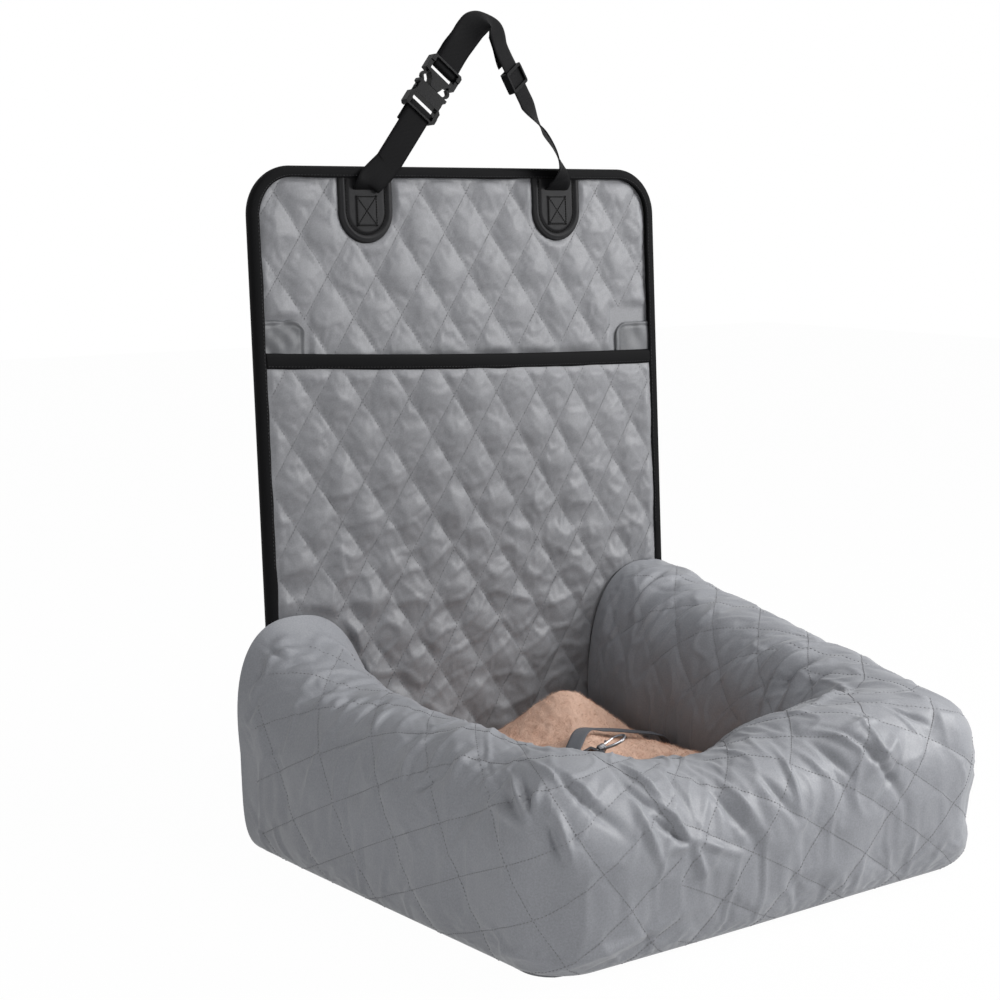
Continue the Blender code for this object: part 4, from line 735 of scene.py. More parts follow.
@dataclass(frozen=True)
class Leather:
    """Grained leather: cells of pebbles with fine creases between them."""

    name: str
    colour: Colour
    roughness: float = 0.5

    def material(self) -> Material:
        """Build the material from a cell pattern and a noise."""
        nodes = Nodes(self.name)
        place = nodes.place()
        cells = nodes.add("TexVoronoi", {"Vector": place, "Scale": 900.0},
                          feature="DISTANCE_TO_EDGE").outputs["Distance"]
        grain = nodes.math("MINIMUM", nodes.math("MULTIPLY", cells, 4.0), 1.0)
        soft = nodes.noise(place, 260.0, 3.0)
        height = nodes.scaled(grain, 0.6, nodes.math("MULTIPLY", soft, 0.5))
        return nodes.surface({
            "Base Color": nodes.mix(soft, opaque(self.colour, 0.8), opaque(self.colour, 1.25)),
            "Roughness": self.roughness, "Normal": nodes.bump(height, 0.35, 0.0003),
            "Specular IOR Level": 0.14,
        })


@dataclass(frozen=True)
class Moulded:
    """Moulded plastic, foam, board or thread: a fine grain and faint scuffs."""

    name: str
    colour: Colour
    roughness: float = 0.38
    grain: float = 700.0
    depth: float = 0.00006
    edge: float = 0.0004
    gloss: float = 0.3

    def material(self) -> Material:
        """Build the material, with its edges rounded in shading by a bevel."""
        nodes = Nodes(self.name)
        place = nodes.place()
        fine = nodes.noise(place, self.grain, 2.0, 0.6)
        scuff = nodes.noise(place, 60.0, 5.0, 0.65)
        return nodes.surface({
            "Base Color": nodes.mix(scuff, opaque(self.colour, 0.85), opaque(self.colour, 1.2)),
            "Roughness": nodes.scaled(scuff, 0.22, self.roughness - 0.1),
            "Specular IOR Level": self.gloss,
            "Normal": nodes.bump(fine, 0.3, self.depth, nodes.rounded(self.edge)),
        })


@dataclass(frozen=True)
class Metal:
    """Plated metal with a slight ripple and handling marks."""

    name: str
    colour: Colour
    roughness: float = 0.22
    edge: float = 0.0004

    def material(self) -> Material:
        """Build the material, with its edges rounded in shading by a bevel."""
        nodes = Nodes(self.name)
        marks = nodes.noise(nodes.place(), 420.0, 4.0, 0.7)
        return nodes.surface({
            "Base Color": opaque(self.colour), "Metallic": 1.0,
            "Roughness": nodes.scaled(marks, 0.2, self.roughness - 0.08),
            "Normal": nodes.bump(marks, 0.08, 0.0001, nodes.rounded(self.edge)),
        })


@dataclass(frozen=True)
class Plush:
    """Brushed pile: warm clumps of fibre with a strong sheen at grazing angles."""

    name: str
    light: Colour
    dark: Colour

    def material(self) -> Material:
        """Build the material from clumps and fibre noise."""
        nodes = Nodes(self.name)
        place = nodes.place()
        clump = nodes.noise(place, 70.0, 3.0, 0.6)
        fibre = nodes.noise(place, 900.0, 3.0, 0.8)
        factor = nodes.scaled(clump, 1.1, nodes.math("MULTIPLY", fibre, 0.5))
        factor = nodes.math("SUBTRACT", factor, 0.3, clamp=True)
        return nodes.surface({
            "Base Color": nodes.mix(factor, opaque(self.dark), opaque(self.light)),
            "Roughness": 0.95, "Specular IOR Level": 0.1,
            "Normal": nodes.bump(nodes.math("ADD", fibre, clump), 0.7, 0.0012),
            "Sheen Weight": 0.6, "Sheen Roughness": 0.5, "Sheen Tint": opaque(self.light),
        })


class Finishes:
    """All of the seat's materials."""

    def __init__(self) -> None:
        """Build them: cloths, tapes, leather, plastics, floor layers, plush, metals, threads."""
        # Painted shade: the panel's and pocket's satin is the nest's fabric, painted about a
        # quarter darker to stand in for the shade over the quilted panel.
        self.satin = Satin("satin_grey", (0.196, 0.199, 0.211)).material()
        self.nest = Satin("satin_nest", (0.255, 0.262, 0.283), weave=0.0005).material()
        self.tab = Satin("tab_cloth", (0.108, 0.111, 0.118), 0.5, 0.1).material()
        self.backing = Satin("backing_cloth", (0.075, 0.075, 0.08), 0.7, 0.1).material()
        self.tape = Woven("black_tape", (0.0045, 0.0045, 0.005), 0.0011, 0.003,
                          0.0002).material()
        self.webbing = Woven("black_webbing", (0.005, 0.005, 0.0055)).material()
        self.tether = Woven("tether_cloth", (0.11, 0.116, 0.13), 0.0012, 0.0016, 0.0003,
                            0.6, 0.1).material()
        self.leather = Leather("patch_leather", (0.013, 0.013, 0.014)).material()
        self.plastic = Moulded("buckle_plastic", (0.0035, 0.0035, 0.004), 0.3,
                               gloss=0.07).material()
        self.zip_plastic = Moulded("zip_plastic", (0.01, 0.01, 0.011), 0.45).material()
        self.board = Moulded("board_sheet", (0.05, 0.05, 0.055), 0.6).material()
        self.foam = Moulded("floor_foam_cells", (0.15, 0.15, 0.155), 0.95, 300.0,
                            0.0008).material()
        self.grip = Moulded("grip_cloth", (0.26, 0.265, 0.28), 0.8, 500.0, 0.0004).material()
        self.plush = Plush("peach_plush", (0.82, 0.59, 0.47), (0.66, 0.42, 0.31)).material()
        self.metal = Metal("hook_metal", (0.2, 0.2, 0.21)).material()
        self.dark_metal = Metal("dark_metal", (0.1, 0.1, 0.11), 0.35).material()
        self.gate_metal = Metal("gate_metal", (0.26, 0.25, 0.25), 0.28).material()
        self.thread = self.yarn("grey_thread", (0.215, 0.215, 0.224), 0.7)
        self.patch_thread = self.yarn("patch_thread", (0.004, 0.004, 0.004), 0.9)
        self.black_thread = self.yarn("black_thread", (0.03, 0.03, 0.032), 0.6)

    @staticmethod
    def yarn(name: str, colour: Colour, roughness: float) -> Material:
        """Build a sewing thread's material."""
        return Moulded(name, colour, roughness, 900.0, 0.0001, 0.0001).material()


# ---- the panel's plane


@dataclass(frozen=True)
class PanelPlane:
    """Sizes of the back panel, and its own coordinates: x across, y depth, z up the panel."""

    width: float = 0.5
    height: float = 0.6575
    setback: float = 0.1924
    lean: float = math.radians(3.4)
    corner: float = 0.048
    fold: float = 0.2515
    fold_reach: float = 0.012
    start: float = 0.004
    binding_reach: float = 0.0114
    pad_front: float = -0.001
    pad_back: float = 0.002
    backing_back: float = 0.0033
    layer_back: float = -0.0027
    layer_front: float = -0.0049
    binding_front: float = -0.0063

    def world(self, x: Array, y: Array, z: Array) -> Array:
        """Take the panel's coordinates to the model's frame.

        Args:
            x: Across the panel.
            y: Depth, backwards.
            z: Up the panel.

        Returns:
            Places, as an array with a last axis of 3.
        """
        x, y, z = np.broadcast_arrays(x, y, z)
        cos, sin = math.cos(self.lean), math.sin(self.lean)
        return np.stack([x, self.setback + y * cos + z * sin, z * cos - y * sin], axis=-1)

    def direction(self, x: Array, y: Array, z: Array) -> Array:
        """Take directions from the panel's coordinates to the model's frame."""
        return self.world(x, y, z) - self.world(0.0, 0.0, 0.0)

    def half_width(self, z: Array, inset: float = 0.0) -> Array:
        """Half the panel's width at a height: it narrows in the round top corners.

        Args:
            z: Heights up the panel.
            inset: How far inside the edge.

        Returns:
            Half widths.
        """
        radius = self.corner - inset
        rise = np.clip(z - (self.height - inset - radius), 0, radius)
        return self.width / 2 - inset - radius + np.sqrt(np.maximum(radius**2 - rise**2, 0))

    def layer(self, name: str, x: Array, z: Array, front: Array | float,
              back: Array | float) -> Object:
        """Make a closed layer over a grid of the panel, between two depths."""
        return sheet_mesh(name, self.world(x, front, z), self.world(x, back, z))

    def bend(self, piece: Object) -> None:
        """Bake a piece's transform into its mesh; it is not bent at the fold."""
        start, end = (tuple(self.world(0.0, self.binding_front, self.fold + reach))
                      for reach in (-self.fold_reach, self.fold_reach))
        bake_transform(piece)


@dataclass(frozen=True)
class Quilting:
    """Quilted diamonds: two families of stitch lines over a sheet."""

    width: float = 0.056
    height: float = 0.0812
    across: float = 0.032
    up: float = 0.024
    cells: int = 24
    puff: float = 0.004
    puff_power: float = 0.55
    gather: float = 0.00045
    gather_count: float = 4.5
    gather_reach: float = 0.35
    crumple: float = 0.0007
    crumple_size: float = 0.02

    def families(self, x: Array, z: Array) -> tuple[Array, Array]:
        """Count of lines passed in each family: a whole number is on a line."""
        a, b = (x - self.across) / self.width, (z - self.up) / self.height
        return a + b, a - b

    def sewn(self, x: Array, z: Array, reach: float) -> Array:
        """1 on the stitch lines, falling off as a bell over the reach."""
        u, v = self.families(x, z)
        nearest = np.minimum(np.abs(u - np.round(u)), np.abs(v - np.round(v)))
        distance = nearest / math.hypot(1 / self.width, 1 / self.height)
        return bell(distance, reach)

    def relief(self, x: Array, z: Array, seed: int) -> Array:
        """Height of the padded cloth over its stitch lines, before it settles.

        The puff is the 0.55th power of the product of |sin| of both line counts. Beside each
        line the cloth is gathered: a wave along the line whose strength falls off away from it.
        Slow noise makes each diamond fuller or slacker, and crests of a finer noise crumple it.

        Args:
            x: Across the sheet.
            z: Up the sheet.
            seed: Picks the noise.

        Returns:
            Heights in metres.
        """
        u, v = self.families(x, z)
        a, b = np.abs(np.sin(math.pi * u)), np.abs(np.sin(math.pi * v))
        body = (a * b) ** self.puff_power
        full = 1 + 0.25 * ripple(x, z, 0.11, seed) + 0.16 * ripple(x, z, 0.045, seed + 1)
        on_u, on_v = (
            np.sin(2 * math.pi * (count * self.gather_count + 0.8 * ripple(x, z, 0.05, number)))
            * np.exp(-off / self.gather_reach)
            for count, off, number in ((v, a, seed + 2), (u, b, seed + 3))
        )
        height = self.puff * body * full
        height += self.gather * (on_u * b + on_v * a) * np.minimum(a * b * 5, 1)
        crest = ridges(x + 0.3 * z, z, self.crumple_size, seed + 4) - 0.35
        return height + self.crumple * crest * np.minimum(a * b * 2.5, 1)

    def seams(self, low: tuple[float, float], high: tuple[float, float]) -> tuple[Array, ...]:
        """Lay stitches along all of the lines inside a box.

        Args:
            low: The box's lowest x and z.
            high: Its highest x and z.

        Returns:
            x, z and the direction's two parts for each stitch.
        """
        slope = self.width / self.height
        z = np.arange(low[1], high[1], STITCH_PITCH / math.hypot(1, slope))
        lines = np.arange(-30, 31)[:, None]
        xs, zs, dx = [], [], []
        for sign in (1, -1):
            x = self.across + self.width * (lines - sign * (z[None] - self.up) / self.height)
            inside = (x > low[0]) & (x < high[0])
            xs.append(x[inside])
            zs.append(np.broadcast_to(z, x.shape)[inside])
            dx.append(np.full(inside.sum(), -sign * slope))
        x, z, dx = (np.concatenate(part) for part in (xs, zs, dx))
        return x, z, dx, np.ones(len(x))


# ---- pieces on the panel


@dataclass(frozen=True)
class BackPanel:
    """The panel's quilted pad, its backing and its binding."""

    plane: PanelPlane
    finishes: Finishes
    quilting: Quilting = Quilting()
    edge: float = 0.0016
    knee: float = 0.185
    ease: float = 0.01
    patch_at: tuple[float, float] = (0.118, 0.6135)
    patch_reach: float = 0.03
    tab_inner: float = 0.189
    tab_top: float = 0.51
    pocket_top: float = 0.462
    hidden_top: float = 0.452
    hidden_rows: int = 39
    seams_low: tuple[float, float] = (-0.235, 0.478)
    seams_high: tuple[float, float] = (0.235, 0.643)
    tape_bulge: float = 0.0045
    tape_over: float = 0.0014
    tape_tuck: float = 0.0012
    waver: float = 0.0005
    waver_from: float = 0.008
    tape_step: float = 0.004
    seam_pitch: float = 0.0036
    seam_inset: float = 0.0022
    tape_stitch: tuple[float, float] = (0.0025, 0.0003)
    seam_lift: float = 0.0001

    def build(self) -> None:
        """Make the panel's own pieces."""
        self.make_pad()
        self.make_backing()
        self.make_binding()

    def calm(self, x: Array, z: Array) -> Array:
        """How freely the pad puffs: 0 under binding, pocket, patches and tabs, 1 in the open."""
        plane = self.plane
        side = clear_of(plane.half_width(z) - plane.binding_reach - np.abs(x), self.ease)
        top = clear_of(plane.height - plane.binding_reach - z, self.ease)
        from_patch = np.hypot(np.abs(x) - self.patch_at[0], np.minimum(z - self.patch_at[1], 0))
        patch = smooth_step((from_patch - self.patch_reach) / 0.007)
        tab = smooth_step(np.maximum(self.tab_inner - np.abs(x), z - self.tab_top) / 0.007)
        return side * top * patch * tab * smooth_step((z - self.pocket_top) / 0.012)

    def squeeze(self, x: Array, z: Array) -> Array:
        """Draw the columns beyond the knee in where the panel narrows in its round corners."""
        full = self.plane.width / 2 - self.edge
        reach = (self.plane.half_width(z, self.edge) - self.knee) / (full - self.knee)
        beyond = np.maximum(np.abs(x) - self.knee, 0)
        return np.sign(x) * (np.minimum(np.abs(x), self.knee) + beyond * reach)

    def make_pad(self) -> None:
        """Quilt the panel's front: a grid along the stitch lines, coarser under the pocket."""
        plane, quilt = self.plane, self.quilting
        half = plane.width / 2 - self.edge
        x = aligned(-half, half, quilt.across, quilt.width / quilt.cells)[None]
        cell = quilt.height / quilt.cells
        hidden = quilt.up + math.floor((self.hidden_top - quilt.up) / cell) * cell
        lower = np.linspace(plane.start, hidden, self.hidden_rows + 1)[:-1]
        upper = aligned(hidden, plane.height - self.edge, quilt.up, cell)
        z = np.concatenate([lower, upper])[:, None]
        x = self.squeeze(x, z)
        z = np.broadcast_to(z, x.shape)
        calm = self.calm(x, z)
        front = plane.world(x, plane.pad_front - quilt.relief(x, z, 11) * calm, z)
        pinned = np.maximum(quilt.sewn(x, z, 0.001), 1 - calm)
        slack = 0.35 + 0.25 * ripple(x, z, 0.08, 15)
        seen = slice(self.hidden_rows, None)
        front[seen] = settle(front[seen], pinned[seen], slack[seen], 3.0, 0.006)
        back = plane.world(x, plane.pad_back, z)
        pad = sheet_mesh("panel_quilted_pad", front, back, stride=2)
        finish_piece(pad, self.finishes.satin, None, ("panel_upper_pad", "panel_lower_pad"))
        plane.bend(pad)
        sx, sz, dx, dz = quilt.seams(self.seams_low, self.seams_high)
        keep = self.calm(sx, sz) > 0.02
        self.lay_thread("panel_stitches", (front, grid_normals(front)), z[:, 0], x, (sz, sx),
                        (dz, dx), keep, Body.PANEL)

    def lay_thread(self, name: str, tables: tuple, major: Array, minor: Array, at: tuple,
                   way: tuple, keep: Array, body: Body | None) -> Object:
        """Lay quilting stitches on a settled cloth.

        Args:
            name: The object's name.
            tables: The cloth's places and normals.
            major: Its coordinate for each row.
            minor: Its other coordinate for each point.
            at: The stitches' places in those coordinates.
            way: Their directions in those coordinates.
            keep: Which stitches are seen.
            body: The body that they ride on, or None.

        Returns:
            The object.
        """
        a, b, da, db = (part[keep] for part in (*at, *way))
        places, normals = look_up(tables, major, minor, a, b)
        ahead, = look_up(tables[:1], major, minor, a + da * 0.001, b + db * 0.001)
        obj = thread(name, places, ahead - places, normals, STITCH_LENGTH, THREAD_RADIUS)
        return finish_piece(obj, self.finishes.thread, body)

    def make_backing(self) -> None:
        """Lay the plain cloth behind the panel, with a slow sag."""
        plane = self.plane
        z = np.linspace(plane.start, plane.height - self.edge, 220)[:, None]
        x = np.linspace(-1, 1, 170)[None] * plane.half_width(z, self.edge)
        z = np.broadcast_to(z, x.shape)
        sag = 0.0004 * ripple(x, z, 0.09, 41)
        cloth = plane.layer("panel_backing_cloth", x, z, plane.pad_back + 0.0002,
                            plane.backing_back + sag)
        finish_piece(cloth, self.finishes.backing, None,
                     ("panel_upper_backing", "panel_lower_backing"))
        plane.bend(cloth)

    def section(self, reach: float, front: float, back: float) -> Array:
        """A folded tape's section: inward distance and depth, round the outer edge."""
        mid, half = (front + back) / 2, (back - front) / 2
        turn = np.linspace(-math.pi / 2, math.pi / 2, 13)
        bulge = self.tape_bulge
        outer = np.stack([bulge - bulge * np.cos(turn) ** 0.8, mid + half * np.sin(turn)], axis=1)
        crown = np.array([[reach, front + 0.0006], [reach * 0.97, front + 0.0001],
                          [reach * 0.75, front - 0.0002], [reach * 0.5, front - 0.0003]])
        rear = crown[::-1].copy()
        rear[:, 1] = 2 * mid - rear[:, 1]
        inner = np.array([[reach - 0.0004, back - self.tape_tuck],
                          [reach - 0.0004, front + self.tape_tuck]])
        return np.concatenate([crown, outer, rear, inner])

    def stations(self) -> Array:
        """Places on the panel's edge, each with its inward direction, from foot to foot."""
        half, top, radius = self.plane.width / 2, self.plane.height, self.plane.corner
        turn = np.linspace(0, math.pi / 2, 26)
        rise = np.arange(self.plane.start, top - radius, self.tape_step)
        across = np.arange(half - radius - self.tape_step, 0, -self.tape_step)
        side = np.concatenate([
            np.stack(np.broadcast_arrays(*line), axis=1) for line in (
                (half, rise, -1.0, 0.0),
                (half - radius + radius * np.cos(turn), top - radius + radius * np.sin(turn),
                 -np.cos(turn), -np.sin(turn)),
                (across, top, 0.0, -1.0),
            )
        ])
        return np.concatenate([side, side[::-1] * np.array([-1, 1, -1, 1])])

    def make_binding(self) -> None:
        """Fold tape round the panel's edge, from one foot over both corners to the other."""
        plane, stations = self.plane, self.stations()
        section = self.section(plane.binding_reach, plane.binding_front,
                               plane.backing_back + self.tape_over)
        length = run_length(stations[:, :2])
        wave = self.waver * ripple(length, length * 0, 0.05, 5)
        reach = section[None, :, 0] + wave[:, None] * (section[None, :, 0] > self.waver_from)
        x = stations[:, :1] + stations[:, 2:3] * reach
        z = stations[:, 1:2] + stations[:, 3:4] * reach
        y = np.broadcast_to(section[None, :, 1], x.shape)
        cloth = np.stack(np.broadcast_arrays(length[:, None], section[None, :, 0], y), axis=-1)
        tape = sweep_mesh("panel_binding_tape", plane.world(x, y, z), cloth)
        finish_piece(tape, self.finishes.tape, None,
                     ("panel_upper_binding", "panel_lower_binding_left",
                      "panel_lower_binding_right"))
        plane.bend(tape)
        run = np.column_stack([stations[:, :2], 0 * length, stations[:, 2:]])
        run = even(run, self.seam_pitch)
        run = run[run[:, 1] > plane.fold + 0.02]
        inward = run[:, 3:5]
        seam = plane.binding_reach - self.seam_inset
        x, z = run[:, 0] + inward[:, 0] * seam, run[:, 1] + inward[:, 1] * seam
        self.sew_flat("binding_stitches", (x, plane.binding_front - self.seam_lift, z),
                      (-inward[:, 1], inward[:, 0]), self.tape_stitch, self.finishes.black_thread)

    def sew_flat(self, name: str, at: tuple, way: tuple, size: tuple[float, float],
                 material: Material) -> None:
        """Lay stitches that face forwards.

        Args:
            name: The object's name.
            at: Their places: across, depth and up.
            way: Their directions: across and up.
            size: A stitch's length and its thread's radius.
            material: The thread's material.
        """
        along = self.plane.direction(way[0], 0.0, way[1])
        out = self.plane.direction(0.0, -1.0, 0.0)
        finish_piece(thread(name, self.plane.world(*at), along, out, *size), material, Body.PANEL)


@dataclass(frozen=True)
class Pocket:
    """The quilted layer over the panel's lower half, its taped mouth and its corner tabs."""

    panel: BackPanel
    top: float = 0.472
    sag: float = 0.003
    tilt: float = 0.0175
    bow: float = 0.011
    foot: float = 0.016
    bend_at: float = 0.43
    grid_top: float = 0.475
    tape_width: float = 0.015
    tape_seam: float = 0.0127
    crumple: float = 0.0017
    wall_at: tuple[float, float] = (0.2125, 0.105)
    wall_size: tuple[float, float] = (0.0755, 0.129)
    tab_height: float = 0.0305
    tab_width: float = 0.045
    tab_radius: float = 0.016
    tab_lift: float = 0.0026
    seams_low: tuple[float, float] = (-0.235, 0.03)
    seams_high: tuple[float, float] = (0.235, 0.465)
    quilting: Quilting = Quilting(0.0529, 0.0785, 0.0237, 0.0363, puff=0.0042)

    def mouth(self, x: Array) -> Array:
        """Height of the pocket's upper edge: it sags, and its left end hangs higher."""
        share = x / (self.panel.plane.width / 2)
        return self.top - self.sag * (1 - share**2) - self.tilt * share / 2

    def stand_off(self, x: Array, z: Array) -> Array:
        """How far the layer stands off the panel: a bow that grows towards the mouth."""
        plane = self.panel.plane
        edge = plane.width / 2 - plane.binding_reach - 0.015
        across = (1 - np.minimum(np.abs(x) / edge, 1) ** 2) ** 2
        return self.bow * across * smooth_step((z - plane.fold) / (self.top - plane.fold))

    def calm(self, x: Array, z: Array) -> Array:
        """How freely the layer puffs: 0 under the tapes and where the nest's walls stand."""
        plane = self.panel.plane
        side = clear_of(plane.width / 2 - plane.binding_reach - np.abs(x), self.panel.ease)
        top = clear_of(self.mouth(x) - self.tape_width - z, 0.012)
        across = np.abs(np.abs(x) - self.wall_at[0]) / self.wall_size[0]
        level = np.maximum(z - self.wall_at[1], 0) / self.wall_size[1]
        wall = smooth_step((1 - across**2.5 - level**2.5) / 0.15)
        return side * top * (1 - wall)

    def relief(self, x: Array, z: Array) -> Array:
        """Height of the layer's cloth before it settles, crumpled in its lower half."""
        low = smooth_step((0.42 - z) / 0.16)
        crumple = ridges(x - 0.35 * z, z, 0.03, 77) - 0.3 + 0.6 * ripple(x, z, 0.045, 78)
        return self.quilting.relief(x, z, 29) * (1 + 0.1 * low) + self.crumple * low * crumple

    def build(self) -> None:
        """Make the layer, its stitches, its tape and its tabs."""
        self.make_layer()
        self.make_tape()
        for side, name in ((-1, "left"), (1, "right")):
            self.make_tab(side, name)

    def make_layer(self) -> None:
        """Quilt the layer from the panel's foot up to the pocket's mouth."""
        panel, plane, quilt = self.panel, self.panel.plane, self.quilting
        half, bend = plane.width / 2 - panel.edge, self.bend_at
        x = aligned(-half, half, quilt.across, quilt.width / quilt.cells)[None]
        z = aligned(self.foot, self.grid_top, quilt.up, quilt.height / quilt.cells)[:, None]
        reach = (self.mouth(x) - 0.0016 - bend) / (self.grid_top - bend)
        z = np.minimum(z, bend) + np.maximum(z - bend, 0) * reach
        x = np.broadcast_to(x, z.shape)
        rest, calm = self.stand_off(x, z), self.calm(x, z)
        front = plane.world(x, plane.layer_front - rest - self.relief(x, z) * calm, z)
        pinned = np.maximum(quilt.sewn(x, z, 0.001), 1 - calm)
        low = smooth_step((0.42 - z) / 0.2)
        slack = 0.3 + 0.55 * low + 0.25 * ripple(x, z, 0.08, 35)
        front = settle(front, pinned, slack, 3.0, 0.007)
        back = plane.world(x, plane.layer_back - rest + 0.0012 * (z < plane.fold), z)
        layer = sheet_mesh("pocket_quilted_layer", front, back, stride=2)
        finish_piece(layer, panel.finishes.satin, None, ("pocket_front", "pocket_foot"))
        plane.bend(layer)
        sx, sz, dx, dz = quilt.seams(self.seams_low, self.seams_high)
        keep = self.calm(sx, sz) > 0.02
        tables = tuple(grid.transpose(1, 0, 2) for grid in (front, grid_normals(front)))
        plane.bend(panel.lay_thread("pocket_stitches", tables, x[0], z.T, (sx, sz), (dx, dz),
                                    keep, None))

    def make_tape(self) -> None:
        """Fold tape over the pocket's mouth."""
        panel, plane = self.panel, self.panel.plane
        end = plane.width / 2 - plane.binding_reach - 0.0003
        x = np.linspace(-end, end, 150)
        section = panel.section(self.tape_width, plane.binding_front,
                                plane.layer_back + panel.tape_over)
        z = self.mouth(x)[:, None] - section[None, :, 0]
        wave = panel.waver * ripple(x, x * 0, 0.06, 8)
        z = z + wave[:, None] * (section[None, :, 0] > panel.waver_from)
        wide = np.broadcast_to(x[:, None], z.shape)
        y = section[None, :, 1] - self.stand_off(wide, z)
        cloth = np.stack(np.broadcast_arrays(wide, section[None, :, 0], y), axis=-1)
        tape = sweep_mesh("pocket_binding_tape", plane.world(wide, y, z), cloth)
        finish_piece(tape, panel.finishes.tape, Body.PANEL, ("pocket_binding",))
        x = np.arange(-end + 0.002, end, panel.seam_pitch)
        z = self.mouth(x) - self.tape_seam
        depth = plane.binding_front - panel.seam_lift - self.stand_off(x, z)
        panel.sew_flat("pocket_tape_stitches", (x, depth, z), (np.ones(len(x)), 0.0),
                       panel.tape_stitch, panel.finishes.black_thread)

    def make_tab(self, side: int, name: str) -> None:
        """Make a corner tab: smooth cloth with one rounded corner and a stitched hem."""
        panel, plane = self.panel, self.panel.plane
        outer = side * (plane.width / 2 - 0.003)
        inner = side * (plane.width / 2 - plane.binding_reach - self.tab_width)
        top = self.mouth(side * (plane.width / 2 - plane.binding_reach)) + self.tab_height
        x = inner + (outer - inner) * np.linspace(0, 1, 60)[None]
        from_inner = np.abs(x - inner)
        into = np.maximum(self.tab_radius - from_inner, 0)
        drop = self.tab_radius - np.sqrt(np.maximum(self.tab_radius**2 - into**2, 0))
        foot = self.mouth(x) - 0.004
        z = foot + (top - drop - foot) * np.linspace(0, 1, 50)[:, None]
        x = np.broadcast_to(x, z.shape)
        rim = np.minimum(np.minimum(from_inner, top - drop - z), 0.02)
        lift = self.tab_lift - 0.0006 * bell(rim - 0.0045, 0.0016) - 0.0016 * bell(rim, 0.0006)
        lift = lift + 0.001 * ripple(x, z, 0.022, 60 + side)
        tab = plane.layer(f"tab_{name}", x, z, plane.pad_front - lift, plane.pad_front - 0.0002)
        finish_piece(tab, panel.finishes.tab, Body.PANEL, (f"pocket_tab_{name}",))


@dataclass(frozen=True)
class Patches:
    """Leather patches with a half round foot, a folded rim and a boxed cross of stitches."""

    panel: BackPanel
    offset: float = 0.118
    width: float = 0.0625
    drop: float = 0.075
    thickness: float = 0.0026
    groove: float = 0.0088
    box_middle: float = 0.614
    box_half: tuple[float, float] = (0.0118, 0.0145)
    cross_half: float = 0.0112
    cross_low: float = 0.6
    cross_high: float = 0.628
    stitch: tuple[float, float] = (0.0026, 0.00075)

    def build(self) -> None:
        """Make both patches."""
        for side, name in ((-1, "left"), (1, "right")):
            self.make_patch(side, name)

    def from_box(self, x: Array, z: Array) -> Array:
        """Distance out of the raised square, less than 0 inside it."""
        across, up = self.box_half
        return np.maximum(np.abs(x) - across, np.abs(z - self.box_middle) - up)

    def make_patch(self, side: int, name: str) -> None:
        """Shape one patch: level rows that narrow in its half round foot.

        Its height follows the distance from the outline: a quick rise, a full rim, a sewn groove
        and a level middle, with a low raised square under the boxed cross.
        """
        plane, panel = self.panel.plane, self.panel
        half = self.width / 2
        top, low = plane.height - 0.006, plane.height - self.drop + half
        turn = np.linspace(0, math.pi / 2 - 0.04, 60)
        z = np.concatenate([np.linspace(top, low, 64)[:-1], low - half * np.sin(turn)])[:, None]
        reach = np.concatenate([np.full(63, half), half * np.cos(turn)])[:, None]
        x = reach * np.sin(np.linspace(-0.5, 0.5, 71) * math.pi)[None]
        z = np.broadcast_to(z, x.shape)
        inset = half - np.hypot(x, np.minimum(z - low, 0))
        lift = self.thickness * np.minimum(1, np.maximum(inset, 0) / 0.0014) ** 0.5
        lift += 0.0011 * bell(inset - 0.005, 0.0024)
        lift -= 0.0016 * bell(inset - self.groove, 0.0015)
        lift += 0.0008 * smooth_step(-self.from_box(x, z) / 0.0012)
        patch = plane.layer(f"patch_leather_{name}", side * self.offset + x, z,
                            plane.pad_front - 0.0003 - lift, plane.pad_front - 0.0002)
        finish_piece(patch, panel.finishes.leather, Body.PANEL, (f"strap_patch_{name}",))
        turn = np.linspace(math.pi, 2 * math.pi, 60)
        groove, end = half - self.groove, top - 0.008
        rim = np.stack([groove * np.cos(turn), low + groove * np.sin(turn)], 1)
        rim = np.concatenate([[[-groove, end]], rim, [[groove, end]]])
        run = even(np.column_stack([rim, 0 * rim[:, 0]]), 0.0028)
        self.sew(f"patch_rim_stitches_{name}", side, run, np.gradient(run, axis=0))
        wide, foot, head = self.cross_half, self.cross_low, self.cross_high
        box = np.array([[-wide, foot], [wide, foot], [wide, head], [-wide, head], [-wide, foot]])
        lines = [box[i : i + 2] for i in range(4)] + [box[[0, 2]], box[[1, 3]]]
        runs = [even(np.column_stack([line, [0, 0]]), 0.0026) for line in lines]
        along = [np.broadcast_to(run[-1] - run[0], run.shape) for run in runs]
        self.sew(f"patch_box_stitches_{name}", side, np.concatenate(runs), np.concatenate(along))

    def sew(self, name: str, side: int, run: Array, along: Array) -> None:
        """Sew along a run of places (x, z, nothing) of a patch."""
        boxed = self.from_box(run[:, 0], run[:, 1]) < 0
        depth = self.panel.plane.pad_front - self.thickness - np.where(boxed, 0.001, -0.0007)
        self.panel.sew_flat(name, (side * self.offset + run[:, 0], depth, run[:, 1]),
                            (along[:, 0], along[:, 1]), self.stitch,
                            self.panel.finishes.patch_thread)


# ---- headrest strap


